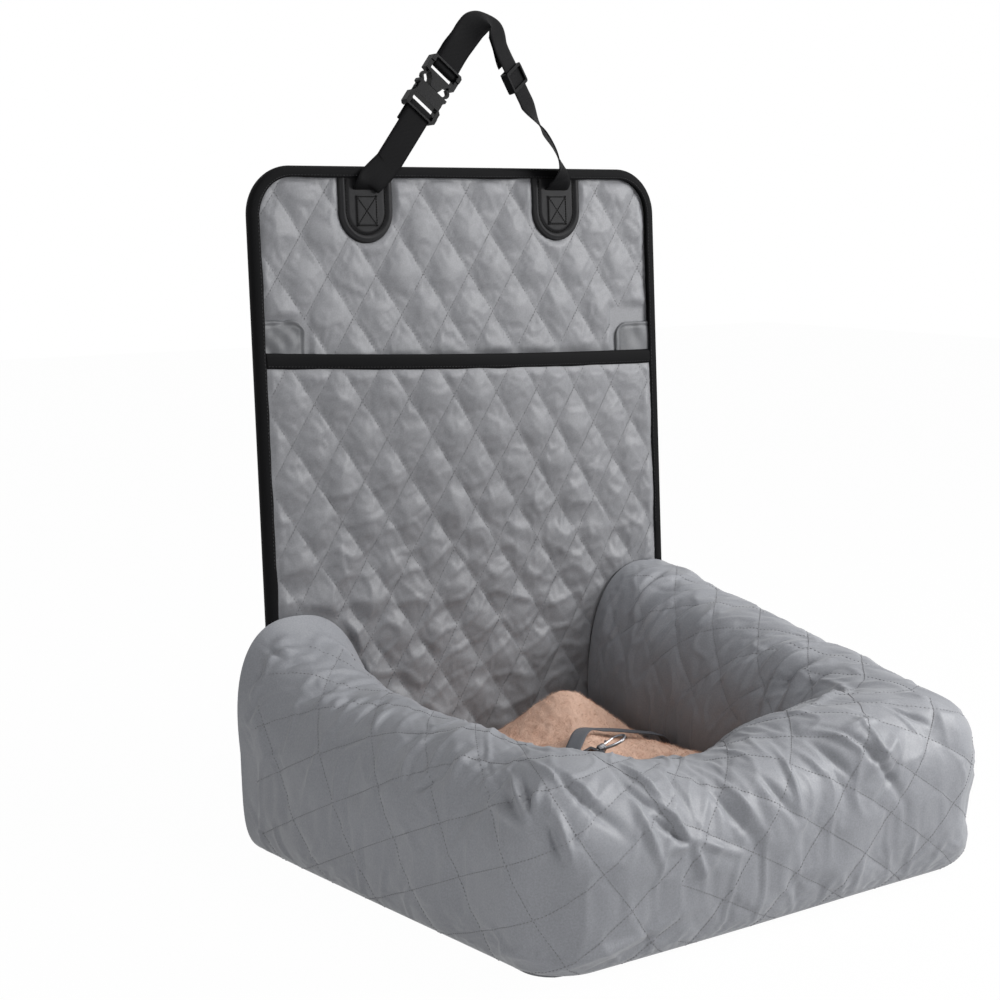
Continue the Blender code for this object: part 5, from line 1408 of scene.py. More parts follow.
@dataclass(frozen=True)
class HeadrestStrap:
    """The webbing from patch to patch by way of the buckle, the peak and the slider."""

    plane: PanelPlane
    finishes: Finishes
    offset: float = 0.118
    slot_drop: float = 0.023
    width: float = 0.0295
    thickness: float = 0.0015
    rise: float = 0.1715
    tail: float = 0.022
    straight: float = 0.07
    loop_straight: float = 0.035
    buckle_x: float = -0.0362
    buckle_z: float = 0.7335
    angle: float = math.radians(52)
    socket_bar: float = -0.0245
    plug_bar: float = 0.025
    wrap_radius: float = 0.0014 * math.sqrt(2) + 0.0003 + 0.00075
    slider_share: float = 0.6945
    clearance: float = 0.0003
    patch_front: float = -0.0027
    slider_reach: float = 0.0116
    layer_gap: float = 0.002
    slider_gap: float = 0.0029
    root_rise: float = 0.01
    free_rows: int = 22
    shares: tuple = (
        (0.156, 0.00, 0.9685, 40, 30),
        (0.263, 0.00, 1.0000, -5, 50),
        (0.3695, 0.00, 0.942, -56, 24),
        (0.426, 0.00, 0.8332, -60.5, 26),
        (0.539, 0.00, 0.6945, -60.5, 26),
        (0.6593, 0.00, 0.5469, -60.5, 26),
        (0.69, 0.00, 0.5092, -60.5, 26),
        (0.7585, 0.25, 0.4146, -63, 48),
        (0.811, 0.6, 0.3388, -62, 65),
        (0.9034, 0.85, 0.2286, -62, 58),
        (0.96, 0.75, 0.1358, -75, 44),
        (0.975, 0.55, 0.0904, -84, 28),
        (0.986, 0.25, 0.0554, -88, 12),
    )

    @property
    def depth(self) -> float:
        """Depth of the webbing's middle in front of the binding."""
        return self.plane.binding_front - self.clearance - self.thickness / 2

    def on_buckle(self, distance: Array, depth: Array) -> Array:
        """Places on the buckle's axis, in the panel's coordinates."""
        distance, depth = np.broadcast_arrays(distance, depth)
        return np.stack([self.buckle_x + distance * math.cos(self.angle), depth,
                         self.buckle_z + distance * math.sin(self.angle)], axis=-1)

    def foot(self, side: int) -> list:
        """Rows out of a patch's slot and up in front of the binding."""
        x, slot = side * self.offset, self.plane.height - self.slot_drop
        first = self.patch_front - self.clearance - self.thickness / 2
        return [
            (x, -0.0016, slot, 90, 0),
            (x, first, slot + self.thickness * 0.6, 90, 0),
            (x, self.depth, slot + self.thickness * 3, 90, 0),
        ]

    def line(self, rows: list, count: int) -> tuple[Array, Array]:
        """Turn rows of place, heading and twist into a path and the webbing's width vectors."""
        line = smooth_line(np.array(rows, float), count)
        heading, twist = np.radians(line[:, 3]), np.radians(line[:, 4])
        across = np.stack([np.cos(twist) * np.sin(heading), -np.sin(twist),
                           -np.cos(twist) * np.cos(heading)], axis=1)
        return line[:, :3], across

    def turn(self, bar: float, direction: int) -> Array:
        """Places of the half turn round a buckle's bar."""
        a = np.linspace(0, math.pi, 15)
        middle = self.depth + self.wrap_radius
        return self.on_buckle(bar + direction * self.wrap_radius * np.sin(a),
                              middle - self.wrap_radius * np.cos(a))

    def build(self) -> None:
        """Make both straps' webbing, the long one with its return layer."""
        self.make_left()
        self.make_long()

    def lay(self, name: str, path: Array, across: Array) -> Object:
        """Lay webbing along a path in the panel's coordinates."""
        rings, cloth = ribbon_rings(path, across, self.width, self.thickness)
        return sweep_mesh(name, self.plane.world(*np.moveaxis(rings, -1, 0)), cloth)

    def make_left(self) -> None:
        """The short strap, folded round the socket's bar, with its tail behind it."""
        start = self.on_buckle(self.socket_bar - self.straight, self.depth)
        rows = self.foot(-1) + [(*start, math.degrees(self.angle), 0)]
        path, across = self.line(rows, 73)
        bar = self.socket_bar
        straight = self.on_buckle(np.linspace(bar - self.straight, bar, 30)[1:-1], self.depth)
        back = self.on_buckle(np.linspace(bar, bar - self.tail, 12)[1:],
                              self.depth + 2 * self.wrap_radius)
        path = np.concatenate([path, straight, self.turn(bar, 1), back])
        more = len(path) - len(across)
        across = np.concatenate([across, np.repeat(across[-1:], more, axis=0)])
        strap = self.lay("strap_left_webbing", path, across)
        finish_piece(strap, self.finishes.webbing, Body.PANEL, ("strap_left",))

    def make_long(self) -> None:
        """The long strap: plug, peak, slider, and down to the right patch, with its return."""
        degrees = math.degrees(self.angle)
        slot = self.plane.height - self.slot_drop
        rows = [(*self.on_buckle(distance, self.depth), degrees, 0)
                for distance in (self.plug_bar, self.plug_bar + self.loop_straight)]
        for x_share, depth_share, z_share, heading, twist in self.shares:
            rows.append((x_share * self.offset, self.depth - depth_share * self.width / 2,
                         slot + z_share * self.rise, heading, twist))
        rows += [(x, y, z, heading - 180, 0) for x, y, z, heading, _ in self.foot(1)[::-1]]
        main, widths = self.line(rows, 341)
        along = unit(np.gradient(main, axis=0))
        inward = unit(np.cross(widths, along))
        inward *= np.sign(inward[:, 1])[:, None]
        length = run_length(main)
        level = slot + self.slider_share * self.rise
        falling = np.nonzero((main[1:, 2] < level) & (main[:-1, 2] >= level))[0][-1]
        last = length[falling] - self.slider_reach
        at = np.linspace(self.tail, last, 110)
        near_plug = 1 - smooth_step((at - self.tail) / self.tail)
        near_slider = smooth_step((at - last) / self.tail + 1)
        gap, wrapped = self.layer_gap, 2 * self.wrap_radius
        offset = gap + (wrapped - gap) * near_plug + self.slider_gap * near_slider
        places, inward, back_widths = (
            np.stack([np.interp(at, length, column) for column in table.T], axis=1)
            for table in (main, inward, widths)
        )
        back = places + offset[:, None] * inward
        turn = self.turn(self.plug_bar, -1)[1:-1]
        start = self.on_buckle(np.linspace(self.plug_bar, self.plug_bar + self.tail, 10)[:-1],
                               self.depth + wrapped)
        path = np.concatenate([main[::-1], turn, start, back])
        level_widths = np.repeat(widths[:1], len(turn) + len(start), axis=0)
        across = np.concatenate([widths[::-1], level_widths, back_widths])
        strap = self.lay("headrest_webbing", path, across)
        finish_piece(strap, self.finishes.webbing, None, ("headrest_strap", "strap_right_root"))
        root = self.plane.world(self.offset, self.depth, slot + self.root_rise)
        free = self.plane.world(*main[falling + self.free_rows])
        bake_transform(strap)


# ---- nest


@dataclass(frozen=True)
class NestShape:
    """The nest's stuffed wall, as part.py has it: sections along a path round three sides."""

    rear_half: float = 0.288
    front_half: float = 0.263
    front: float = 0.256
    corner: float = 0.047
    floor_half: float = 0.137
    floor_front: float = 0.12
    floor_corner: float = 0.034
    arm_back: float = 0.234
    arm_front: float = 0.169
    left_power: float = 8.0
    right_power: float = 1.1
    dip: float = 0.026
    dip_x: float = -0.06
    dip_half: float = 0.2
    end_gap: float = 0.0066
    round_share: float = 0.55
    foot_round_share: float = 0.38
    top_round_share: float = 0.8
    middle_share: float = 0.45
    crown_shift: float = 0.12
    base: float = 0.0018
    setback: float = 0.1924
    lean: float = math.radians(3.4)

    def stations(self, arm: int, corner: int, front: int) -> tuple[Array, Array, int]:
        """Plan points of the wall's inner and outer lines from the left arm's back end round.

        Args:
            arm: Stations on an arm.
            corner: Stations round a corner, an even number.
            front: Stations on half of the front.

        Returns:
            Inner points, outer points, and the station in the middle of the first corner.
        """
        inner_corner = self.floor_half - self.floor_corner
        outer_corner = self.front_half - self.corner
        inner_turn, outer_turn = self.floor_corner - self.floor_front, self.corner - self.front
        t = np.linspace(0, 1, arm + 1)[:-1]
        end = self.setback - self.end_gap
        inner = [np.stack([np.full(arm, self.floor_half), end + (inner_turn - end) * t], axis=1)]
        outer = [np.stack([self.rear_half + (self.front_half - self.rear_half) * t,
                           end + (outer_turn - end) * t], axis=1)]
        a = np.linspace(0, math.pi / 2, corner + 1)
        turn = np.stack([np.cos(a), -np.sin(a)], axis=1)
        inner.append(np.array([inner_corner, inner_turn]) + self.floor_corner * turn)
        outer.append(np.array([outer_corner, outer_turn]) + self.corner * turn)
        t = np.linspace(0, 1, front + 1)[1:]
        inner.append(np.stack([inner_corner * (1 - t), np.full(front, -self.floor_front)], axis=1))
        outer.append(np.stack([outer_corner * (1 - t), np.full(front, -self.front)], axis=1))
        inner, outer = np.concatenate(inner), np.concatenate(outer)
        flip = np.array([-1, 1])
        return (np.concatenate([inner * flip, inner[-2::-1]]),
                np.concatenate([outer * flip, outer[-2::-1]]), arm + corner // 2)

    def height(self, x: Array, y: Array) -> Array:
        """Height of the wall: the arms rise towards the panel, and the front one sags."""
        start = -(self.floor_front + self.front) / 2
        share = np.maximum(0, (y - start) / (self.setback - start))
        rise = share ** np.where(x < 0, self.left_power, self.right_power)
        reach = np.minimum(1, np.abs(x - self.dip_x) / self.dip_half)
        dip = self.dip * (1 - reach**2) ** 2 * (y < -self.floor_front)
        return self.arm_front + (self.arm_back - self.arm_front) * rise - dip

    def surface(self, inner: Array, outer: Array, around: int) -> Array:
        """Sections of the wall, each closed, as an array of stations x around x 3.

        Each section is a superellipse with its powers from the round shares, flat at the base
        and squarer at its outer foot, whose crown leans outwards.

        Args:
            inner: Inner plan points.
            outer: Outer plan points.
            around: Points in each section, the first and last of which coincide.

        Returns:
            The places.
        """
        a = -math.pi / 2 + np.linspace(0, 2 * math.pi, around)
        cos, sin = np.cos(a), np.sin(a)
        foot = np.where(cos > 0, self.foot_round_share, self.round_share)
        power = np.where(sin > 0, self.top_round_share, foot)
        u = np.sign(cos) * np.abs(cos) ** power
        v = np.sign(sin) * np.abs(sin) ** power
        y_mid = (inner[:, 1] + outer[:, 1]) / 2
        height = self.height(outer[:, 0], y_mid)[:, None]
        middle = height * self.middle_share
        z = middle + v[None] * np.where(v[None] > 0, height - middle, middle)
        u = u + self.crown_shift * np.maximum(0, v)
        share = (1 + u[None]) / 2
        turn = self.corner - self.front
        lean = math.tan(self.lean) * np.maximum(0, (y_mid - turn) / (self.setback - turn)) ** 4
        x = inner[:, :1] + (outer - inner)[:, :1] * share
        y = inner[:, 1:] + (outer - inner)[:, 1:] * share + lean[:, None] * z
        return np.stack([x, y, np.maximum(z, self.base)], axis=-1)


@dataclass(frozen=True)
class Crease:
    """A soft fold in cloth: its middle along the wall and above the crest, heading and size."""

    along: float
    above: float
    heading: float
    length: float
    width: float
    height: float
    bend: float = 0


@dataclass
class Nest:
    """The nest's quilted cover over its three stuffed walls, with its stitches."""

    finishes: Finishes
    shape: NestShape = NestShape()
    stations: tuple[int, int, int] = (152, 28, 82)
    around: int = 241
    puff: float = 0.0005
    fold_gain: float = 1.3
    parting: float = -0.125
    left_origin: float = 0.2
    left_lines: tuple = ((-0.454, 0.891, 0.11, 0.046), (0.829, 0.559, 0.048, 0.069))
    right_lines: tuple = ((0.5, 0.866, 0.0945, 0.045), (0.719, -0.695, -0.0097, 0.0575))
    end_ease: float = 0.03
    rim: float = 0.06
    folds: tuple = (
        (0.016, -0.027, 1.57, 0.009, 0.003, 0.0041),
        (0.022, -0.04, 0.43, 0.008, 0.0028, -0.0035),
        (0.027, -0.033, 1.25, 0.014, 0.0034, 0.0041),
        (0.025, -0.052, 1.72, 0.01, 0.003, 0.0035),
        (0.02, -0.064, 1.44, 0.011, 0.0028, -0.0035),
        (0.022, -0.08, 1.43, 0.011, 0.0034, 0.003),
        (0.043, -0.03, 1.22, 0.013, 0.003, -0.003),
        (0.022, -0.099, 1.27, 0.015, 0.003, -0.0024),
        (0.086, -0.036, 1.13, 0.014, 0.003, -0.0035),
        (0.103, -0.034, 1.28, 0.015, 0.0032, 0.0035),
        (0.122, -0.028, 1.57, 0.015, 0.0028, -0.0032),
        (0.139, -0.027, 1.49, 0.019, 0.0034, 0.0038),
        (0.163, -0.027, 1.48, 0.017, 0.0028, -0.003),
        (0.187, -0.027, 1.57, 0.016, 0.0032, 0.0032),
        (0.256, -0.044, 1.13, 0.017, 0.004, 0.0046),
        (0.251, -0.067, 1.44, 0.011, 0.0036, 0.0038),
        (0.281, -0.076, 0.66, 0.018, 0.004, -0.0038),
        (0.288, -0.047, 1.18, 0.019, 0.0036, 0.0035),
        (0.307, -0.053, 1.08, 0.018, 0.0034, -0.0035),
        (0.323, -0.051, 1.14, 0.02, 0.0036, 0.0038),
        (0.342, -0.052, 1.02, 0.019, 0.0032, -0.0032),
        (0.36, -0.055, 0.96, 0.018, 0.0034, 0.0035),
        (0.372, -0.058, 0.96, 0.015, 0.0028, -0.003),
        (0.236, -0.043, 1.03, 0.014, 0.0032, -0.0027),
        (0.402, -0.064, -0.97, 0.023, 0.0034, 0.0049, 4),
        (0.41, -0.063, -1.13, 0.017, 0.0028, -0.0046),
        (0.419, -0.065, -1.78, 0.014, 0.0034, 0.0041),
        (0.396, -0.074, -0.58, 0.017, 0.0032, -0.0035),
        (0.443, -0.092, -1.26, 0.019, 0.0042, 0.0046),
        (0.436, -0.096, -1.09, 0.016, 0.0036, -0.0038),
        (0.384, -0.081, -0.26, 0.022, 0.0038, 0.003),
        (0.448, -0.05, -0.76, 0.024, 0.0044, -0.0035),
        (0.429, -0.038, -0.83, 0.015, 0.003, 0.0032),
        (0.476, -0.07, -0.62, 0.027, 0.006, -0.0041),
        (0.463, -0.055, -0.68, 0.024, 0.004, 0.0032),
        (0.525, -0.039, -0.77, 0.028, 0.004, 0.0054, -6),
        (0.556, -0.071, -0.8, 0.021, 0.0036, 0.0046, 6),
        (0.514, -0.051, -0.71, 0.027, 0.004, -0.0043, -6),
        (0.548, -0.079, -0.49, 0.023, 0.0034, -0.0038),
        (0.526, -0.084, -1.12, 0.023, 0.0046, 0.0038),
        (0.58, -0.106, -1.25, 0.019, 0.004, 0.003),
        (0.601, -0.094, -0.32, 0.024, 0.0036, 0.003),
        (0.56, -0.093, 0.29, 0.014, 0.0034, 0.003),
        (0.618, -0.059, -0.95, 0.038, 0.005, -0.0032),
        (0.634, -0.055, -1.06, 0.033, 0.0044, 0.003),
        (0.564, -0.038, -1.17, 0.022, 0.004, -0.0027),
        (0.697, -0.051, -1.74, 0.026, 0.0042, 0.0041, -5),
        (0.672, -0.06, -1.03, 0.022, 0.004, -0.0032),
        (0.732, -0.05, -1.22, 0.021, 0.0044, 0.0027),
        (0.796, -0.076, -1.05, 0.041, 0.0044, -0.0041),
        (0.775, -0.048, -0.97, 0.02, 0.004, 0.0041),
        (0.807, -0.075, 0.38, 0.028, 0.0046, 0.0035),
        (0.804, -0.041, -0.01, 0.023, 0.0036, 0.0032),
        (0.754, -0.058, -1.13, 0.021, 0.004, -0.003),
        (0.814, -0.092, 0.6, 0.025, 0.0044, -0.003),
        (0.915, -0.033, -1.4, 0.017, 0.0036, 0.0035),
        (0.872, -0.046, -1.04, 0.017, 0.0036, -0.0032),
        (0.805, -0.056, -1.64, 0.021, 0.004, 0.003),
        (1.031, 0.059, -1.13, 0.037, 0.0046, 0.0068),
        (1.014, 0.059, -1.09, 0.037, 0.004, -0.0061),
        (1.000, 0.057, -1.1, 0.035, 0.0046, 0.0065),
        (1.06, 0.037, -1.27, 0.034, 0.0046, 0.0051),
        (0.982, 0.058, -1.11, 0.029, 0.004, -0.0051),
        (0.88, 0.027, 0.21, 0.092, 0.0044, 0.0035),
        (1.087, 0.039, -1.27, 0.029, 0.004, -0.0037),
        (1.272, 0.048, -1.76, 0.03, 0.0046, 0.0058),
        (1.304, 0.033, -1.62, 0.032, 0.0044, 0.0051),
        (1.272, 0.04, -1.73, 0.019, 0.0036, -0.0044),
        (1.319, 0.029, -1.31, 0.022, 0.0036, -0.0044),
        (1.241, 0.052, -1.84, 0.032, 0.0044, -0.0037),
        (0.493, -0.195, 0.47, 0.075, 0.005, -0.0046),
        (0.472, -0.191, 0.42, 0.051, 0.005, 0.0038),
        (0.405, -0.197, -0.05, 0.022, 0.005, 0.0027),
    )

    def build(self) -> None:
        """Make the cover's three walls, and its stitches."""
        inner, outer, mitre = self.shape.stations(*self.stations)
        points = self.shape.surface(inner, outer, self.around)
        self.along = run_length(outer)
        around = np.linalg.norm(np.diff(points, axis=1), axis=2)
        self.up = np.concatenate([np.zeros((len(points), 1)), np.cumsum(around, axis=1)], axis=1)
        crest = self.up[np.arange(len(points)), points[..., 2].argmax(1)]
        self.above = self.up - crest[:, None]
        points = points + self.normals(points) * self.relief(points)[..., None]
        coarse = points[::2, ::2]
        moved = settle(coarse.transpose(1, 0, 2), self.pinned(points)[::2, ::2].T,
                       self.slack()[::2, ::2].T, 1.0, 0.007).transpose(1, 0, 2) - coarse
        self.points = points + doubled(doubled(moved, 0), 1)
        self.points[..., 2] = np.maximum(self.points[..., 2], self.shape.base)
        self.normal = self.normals(self.points)
        last = len(points) - 1
        for name, first, end in (("left", 0, mitre), ("front", mitre, last - mitre),
                                 ("right", last - mitre, last)):
            wall = sweep_mesh(f"nest_wall_{name}", self.points[first : end + 1, :-1])
            finish_piece(wall, self.finishes.nest, Body.NEST, (f"bolster_{name}",))
        self.sew()

    @staticmethod
    def normals(points: Array) -> Array:
        """Outward normals of the wall's grid, from its two sets of differences."""
        along = np.gradient(points, axis=0)
        around = np.gradient(points, axis=1)
        around[:, 0] = around[:, -1] = points[:, 1] - points[:, -2]
        return unit(np.cross(along, around))

    def families(self, along: Array, up: Array) -> tuple[Array, Array, Array]:
        """Quilting lines: on the left the grid leans one way, on the right the other.

        Args:
            along: Distance along the wall.
            up: Distance up and over from the middle of its base.

        Returns:
            Each family's count of lines passed, and the distance to the nearest line.
        """
        s, x = along - self.left_origin, along - self.along[-1] / 2
        left = x < self.parting
        counts, distances = [], []
        for one, other in zip(self.left_lines, self.right_lines):
            count = np.where(left, (one[0] * s + one[1] * up - one[2]) / one[3],
                             (other[0] * x + other[1] * up - other[2]) / other[3])
            counts.append(count)
            distances.append(np.abs(count - np.round(count)) * np.where(left, one[3], other[3]))
        return *counts, np.minimum(*distances)

    def ends(self) -> Array:
        """0 at the wall's two back ends, 1 between them."""
        along, ease = self.along[:, None], self.end_ease
        return smooth_step(along / ease) * smooth_step((self.along[-1] - along) / ease)

    def pinned(self, points: Array) -> Array:
        """How firmly the cover is held: at its base and ends, and less along its stitches."""
        _, _, nearest = self.families(self.along[:, None], self.up)
        level = points[..., 2]
        base = 1 - smooth_step((level - 0.004) / 0.012)
        inner = smooth_step((self.above - 0.02) / 0.02) * (1 - smooth_step((level - 0.05) / 0.03))
        held = np.maximum(1 - self.ends(), 0.12 * bell(nearest, 0.004))
        return np.maximum(np.maximum(base, inner), held)

    def slack(self) -> Array:
        """How much spare cloth there is: most over the crest and round the corners."""
        along = self.along[:, None] + 0 * self.up
        return 0.15 + 0.35 * bell(self.above, 0.06) + 0.25 * ripple(along, self.up, 0.12, 21)

    def relief(self, points: Array) -> Array:
        """Height of the cover over the stuffing: shallow quilting, ripples and folds."""
        along, up, above = self.along[:, None] + 0 * self.up, self.up, self.above
        a, b, nearest = self.families(along, up)
        puffed = (np.abs(np.sin(math.pi * a)) * np.abs(np.sin(math.pi * b))) ** 0.5
        height = self.puff * (puffed - 0.6) - 0.00035 * bell(nearest, 0.0026)
        height += 0.0026 * ripple(along, up, 0.1, 3) + 0.0015 * (ridges(along, up, 0.03, 4) - 0.3)
        for crease in self.creases():
            cos, sin = math.cos(crease.heading), math.sin(crease.heading)
            du, dw = along - crease.along, above - crease.above
            run, cross = du * cos + dw * sin, -du * sin + dw * cos
            cross = cross + crease.bend * run**2
            off = -((cross / crease.width) ** 2) - (run / crease.length) ** 2
            height += self.fold_gain * crease.height * np.exp(off)
        return height * smooth_step((points[..., 2] - 0.004) / 0.03) * self.ends()

    def creases(self) -> list[Crease]:
        """The folds that the cover shows, and small ones all over its crest."""
        rng = np.random.default_rng(2)
        folds = [Crease(*row) for row in self.folds]
        for along in np.arange(0.03, self.along[-1] - 0.03, 0.012):
            lean = rng.normal(0, 0.5)
            folds.append(Crease(along + rng.uniform(-0.006, 0.006), rng.uniform(-0.1, 0.09),
                                math.pi / 2 + lean, rng.uniform(0.012, 0.034),
                                rng.uniform(0.003, 0.007), rng.uniform(-0.0014, 0.0018),
                                rng.uniform(-9, 9)))
        return folds

    def sew(self) -> None:
        """Sew the quilting's lines, each part of the wall with its own grid."""
        half, ease = self.along[-1] / 2, self.end_ease
        parts = (
            (self.left_lines, half - self.left_origin, -half + ease, self.parting),
            (self.right_lines, 0.0, self.parting, half - ease),
        )
        for number, (lines, shift, low, high) in enumerate(parts, 1):
            rows = [self.follow(line, shift, low, high) for line in lines]
            places, normals, ways = (np.concatenate(part) for part in zip(*rows))
            seen = places[:, 2] > 0.006
            obj = thread(f"nest_stitches_{number}", places[seen], ways[seen], normals[seen],
                         STITCH_LENGTH, THREAD_RADIUS)
            finish_piece(obj, self.finishes.thread, Body.NEST)

    def follow(self, line: tuple, shift: float, low: float,
               high: float) -> tuple[Array, Array, Array]:
        """Find stitches where a family's line count is whole.

        Args:
            line: The family's two coefficients, its base and its spacing.
            shift: From the family's own distance along to one from the wall's middle.
            low: The least distance from the middle.
            high: The greatest.

        Returns:
            Places, normals and directions.
        """
        half, top = self.along[-1] / 2, self.up[:, -1].min() - self.rim
        size = math.hypot(line[0], line[1])
        foot, way = np.array(line[:2]) / size, np.array([line[1], -line[0]]) / size
        reach = np.arange(-1.6, 1.6, STITCH_PITCH)
        offset = (line[2] + np.arange(-40, 41) * line[3]) / size
        x = foot[0] * offset[:, None] + way[0] * reach[None] - shift
        up = foot[1] * offset[:, None] + way[1] * reach[None]
        keep = (x > low) & (x < high) & (up > self.rim) & (up < top)
        a, b = x[keep] + half, up[keep]
        place, normal = look_up((self.points, self.normal), self.along, self.up, a, b)
        ahead, = look_up((self.points,), self.along, self.up, a + way[0] * 0.001,
                         b + way[1] * 0.001)
        return place, normal, ahead - place


# ---- floor, plush pad and tether


@dataclass(frozen=True)
class Base:
    """The floor's layers under the nest: a grip sheet, a board and a foam."""

    finishes: Finishes
    back: float = 0.1871
    sheet_more: float = 0.003

    def build(self) -> None:
        """Make the sheet and the foam, and finish the board."""
        look = self.finishes
        self.make_layer("underside_grip_cloth", "underside_sheet", 0.243, 0.228,
                        self.back + self.sheet_more, 0.03, (0.0, 0.0015), look.grip, "grip_sheet")
        self.make_layer("floor_foam_pad", "floor_foam", 0.142, 0.124, self.back, 0.025,
                        (0.0061, 0.0181), look.foam, "foam")
        dress("floor_board", look.board)

    def make_layer(self, name: str, node: str, half: float, front: float, back: float,
                   radius: float, levels: tuple[float, float], material: Material,
                   slot: str) -> None:
        """A level plate with rounded front corners, from a grid whose rows narrow to them."""
        y = np.linspace(-front, back, 90)[:, None]
        into = np.clip(-front + radius - y, 0, radius)
        x = np.linspace(-1, 1, 80)[None] * (half - radius + np.sqrt(radius**2 - into**2))
        y = np.broadcast_to(y, x.shape)
        bottom, top = (np.stack([x, y, np.full(x.shape, level)], axis=-1) for level in levels)
        finish_piece(sheet_mesh(name, top, bottom), material, Body.NEST, (node,))


@dataclass(frozen=True)
class PlushPad:
    """The loose plush pad: a crown with soft rolls and a hill at the back, and its pile."""

    finishes: Finishes
    half_width: float = 0.126
    front: float = 0.112
    back: float = 0.178
    thickness: float = 0.082
    fold: float = 0.009
    corner: float = 0.03
    base: float = 0.0184
    hill: float = 0.028
    hill_at: tuple[float, float] = (0.045, 0.116)
    hill_size: tuple[float, float] = (0.08, 0.054)
    rolls: tuple = ((1.0, 0.5, 1.0, 0.6), (0.5, 0.7692, -0.4615, 1.9))
    lump: tuple[float, float] = (0.0038, 0.055)
    wrinkle: tuple[float, float] = (0.001, 0.024)
    tuft: tuple[float, float] = (0.0006, 0.009)
    sink: float = 0.0012
    fibres: int = 60000
    fibre_lean: float = 0.8
    fibre_stray: float = 0.35
    fibre_length: tuple[float, float] = (0.0018, 0.0036)
    fibre_half_width: float = 0.00016

    @property
    def middle(self) -> float:
        """The pad's middle, from front to back."""
        return (self.back - self.front) / 2

    @property
    def half_depth(self) -> float:
        """Half of its depth."""
        return (self.back + self.front) / 2

    def height(self, x: Array, y: Array) -> Array:
        """The pad's top, as part.py has it."""
        u = np.minimum(np.abs(x / self.half_width), 1)
        v = np.minimum(np.abs((y - self.middle) / self.half_depth), 1)
        crown = ((1 - u**4) * (1 - v**4)) ** 0.3
        roll = sum(
            share * np.sin(2 * math.pi * (x * a + y * b) / self.half_width + phase)
            for share, a, b, phase in self.rolls
        ) / sum(row[0] for row in self.rolls)
        across = np.minimum(np.abs(x - self.hill_at[0]) / self.hill_size[0], 1)
        along = np.minimum(np.abs(y - self.hill_at[1]) / self.hill_size[1], 1)
        hill = (np.cos(across * math.pi / 2) * np.cos(along * math.pi / 2)) ** 2
        return (self.base + self.thickness * crown + self.fold * crown**2 * roll
                + self.hill * crown * hill)

    def build(self) -> None:
        """Make the pad and its pile."""
        u = np.sin(np.linspace(-0.5, 0.5, 200) * math.pi)[None]
        v = np.sin(np.linspace(-0.5, 0.5, 220) * math.pi)[:, None]
        middle, half = self.middle, self.half_depth
        u, v = np.broadcast_arrays(u, v)
        pull = 1 - (self.corner / half) * (u * v) ** 4
        x, y = u * self.half_width, middle + v * half
        z = self.height(x, y)
        x, y = x * pull, middle + (y - middle) * pull
        (lump, size), (wrinkle, reach), (tuft, tuft_size) = self.lump, self.wrinkle, self.tuft
        lumps = lump * (ripple(x, y + 0.3 * x, size, 91) - 1)
        lumps = lumps + wrinkle * (ridges(x - 0.5 * y, y, reach, 94) - 0.6)
        lumps += tuft * ripple(x, y, tuft_size, 92)
        rim = (1 - u**8) * (1 - v**8)
        top = np.stack([x, y, z + lumps * rim - self.sink * rim], axis=-1)
        bottom = np.stack([x, y, np.full(x.shape, self.base)], axis=-1)
        pad = sheet_mesh("plush_cushion", top, bottom)
        finish_piece(pad, self.finishes.plush, Body.NEST, ("plush_pad",))
        self.make_pile(top)

    def make_pile(self, top: Array) -> None:
        """Fibres: thin blades that lean in a slowly turning direction."""
        rng = np.random.default_rng(5)
        count = self.fibres
        i = rng.uniform(1, top.shape[0] - 2.001, count)
        j = rng.uniform(1, top.shape[1] - 2.001, count)
        a, b = i.astype(int), j.astype(int)
        root = mixed(top, a, b, (i - a)[:, None], (j - b)[:, None])
        normal = unit(np.cross(top[a, b + 1] - top[a, b], top[a + 1, b] - top[a, b]))
        normal *= np.sign(normal[:, 2:] + 1e-9)
        swirl = 2 * math.pi * ripple(root[:, 0], root[:, 1], 0.08, 93)
        lean = np.stack([np.cos(swirl), np.sin(swirl), 0 * swirl], axis=1) * self.fibre_lean
        way = unit(normal + lean + rng.normal(0, self.fibre_stray, (count, 3)))
        tip = root + way * rng.uniform(*self.fibre_length, (count, 1))
        side = unit(np.cross(tip - root, rng.normal(0, 1, (count, 3)))) * self.fibre_half_width
        points = np.stack([root - side, root + side, tip + side * 0.2], axis=1).reshape(-1, 3)
        pile = make_mesh("plush_pile", points, np.arange(count * 3).reshape(-1, 3))
        finish_piece(pile, self.finishes.plush, Body.NEST)


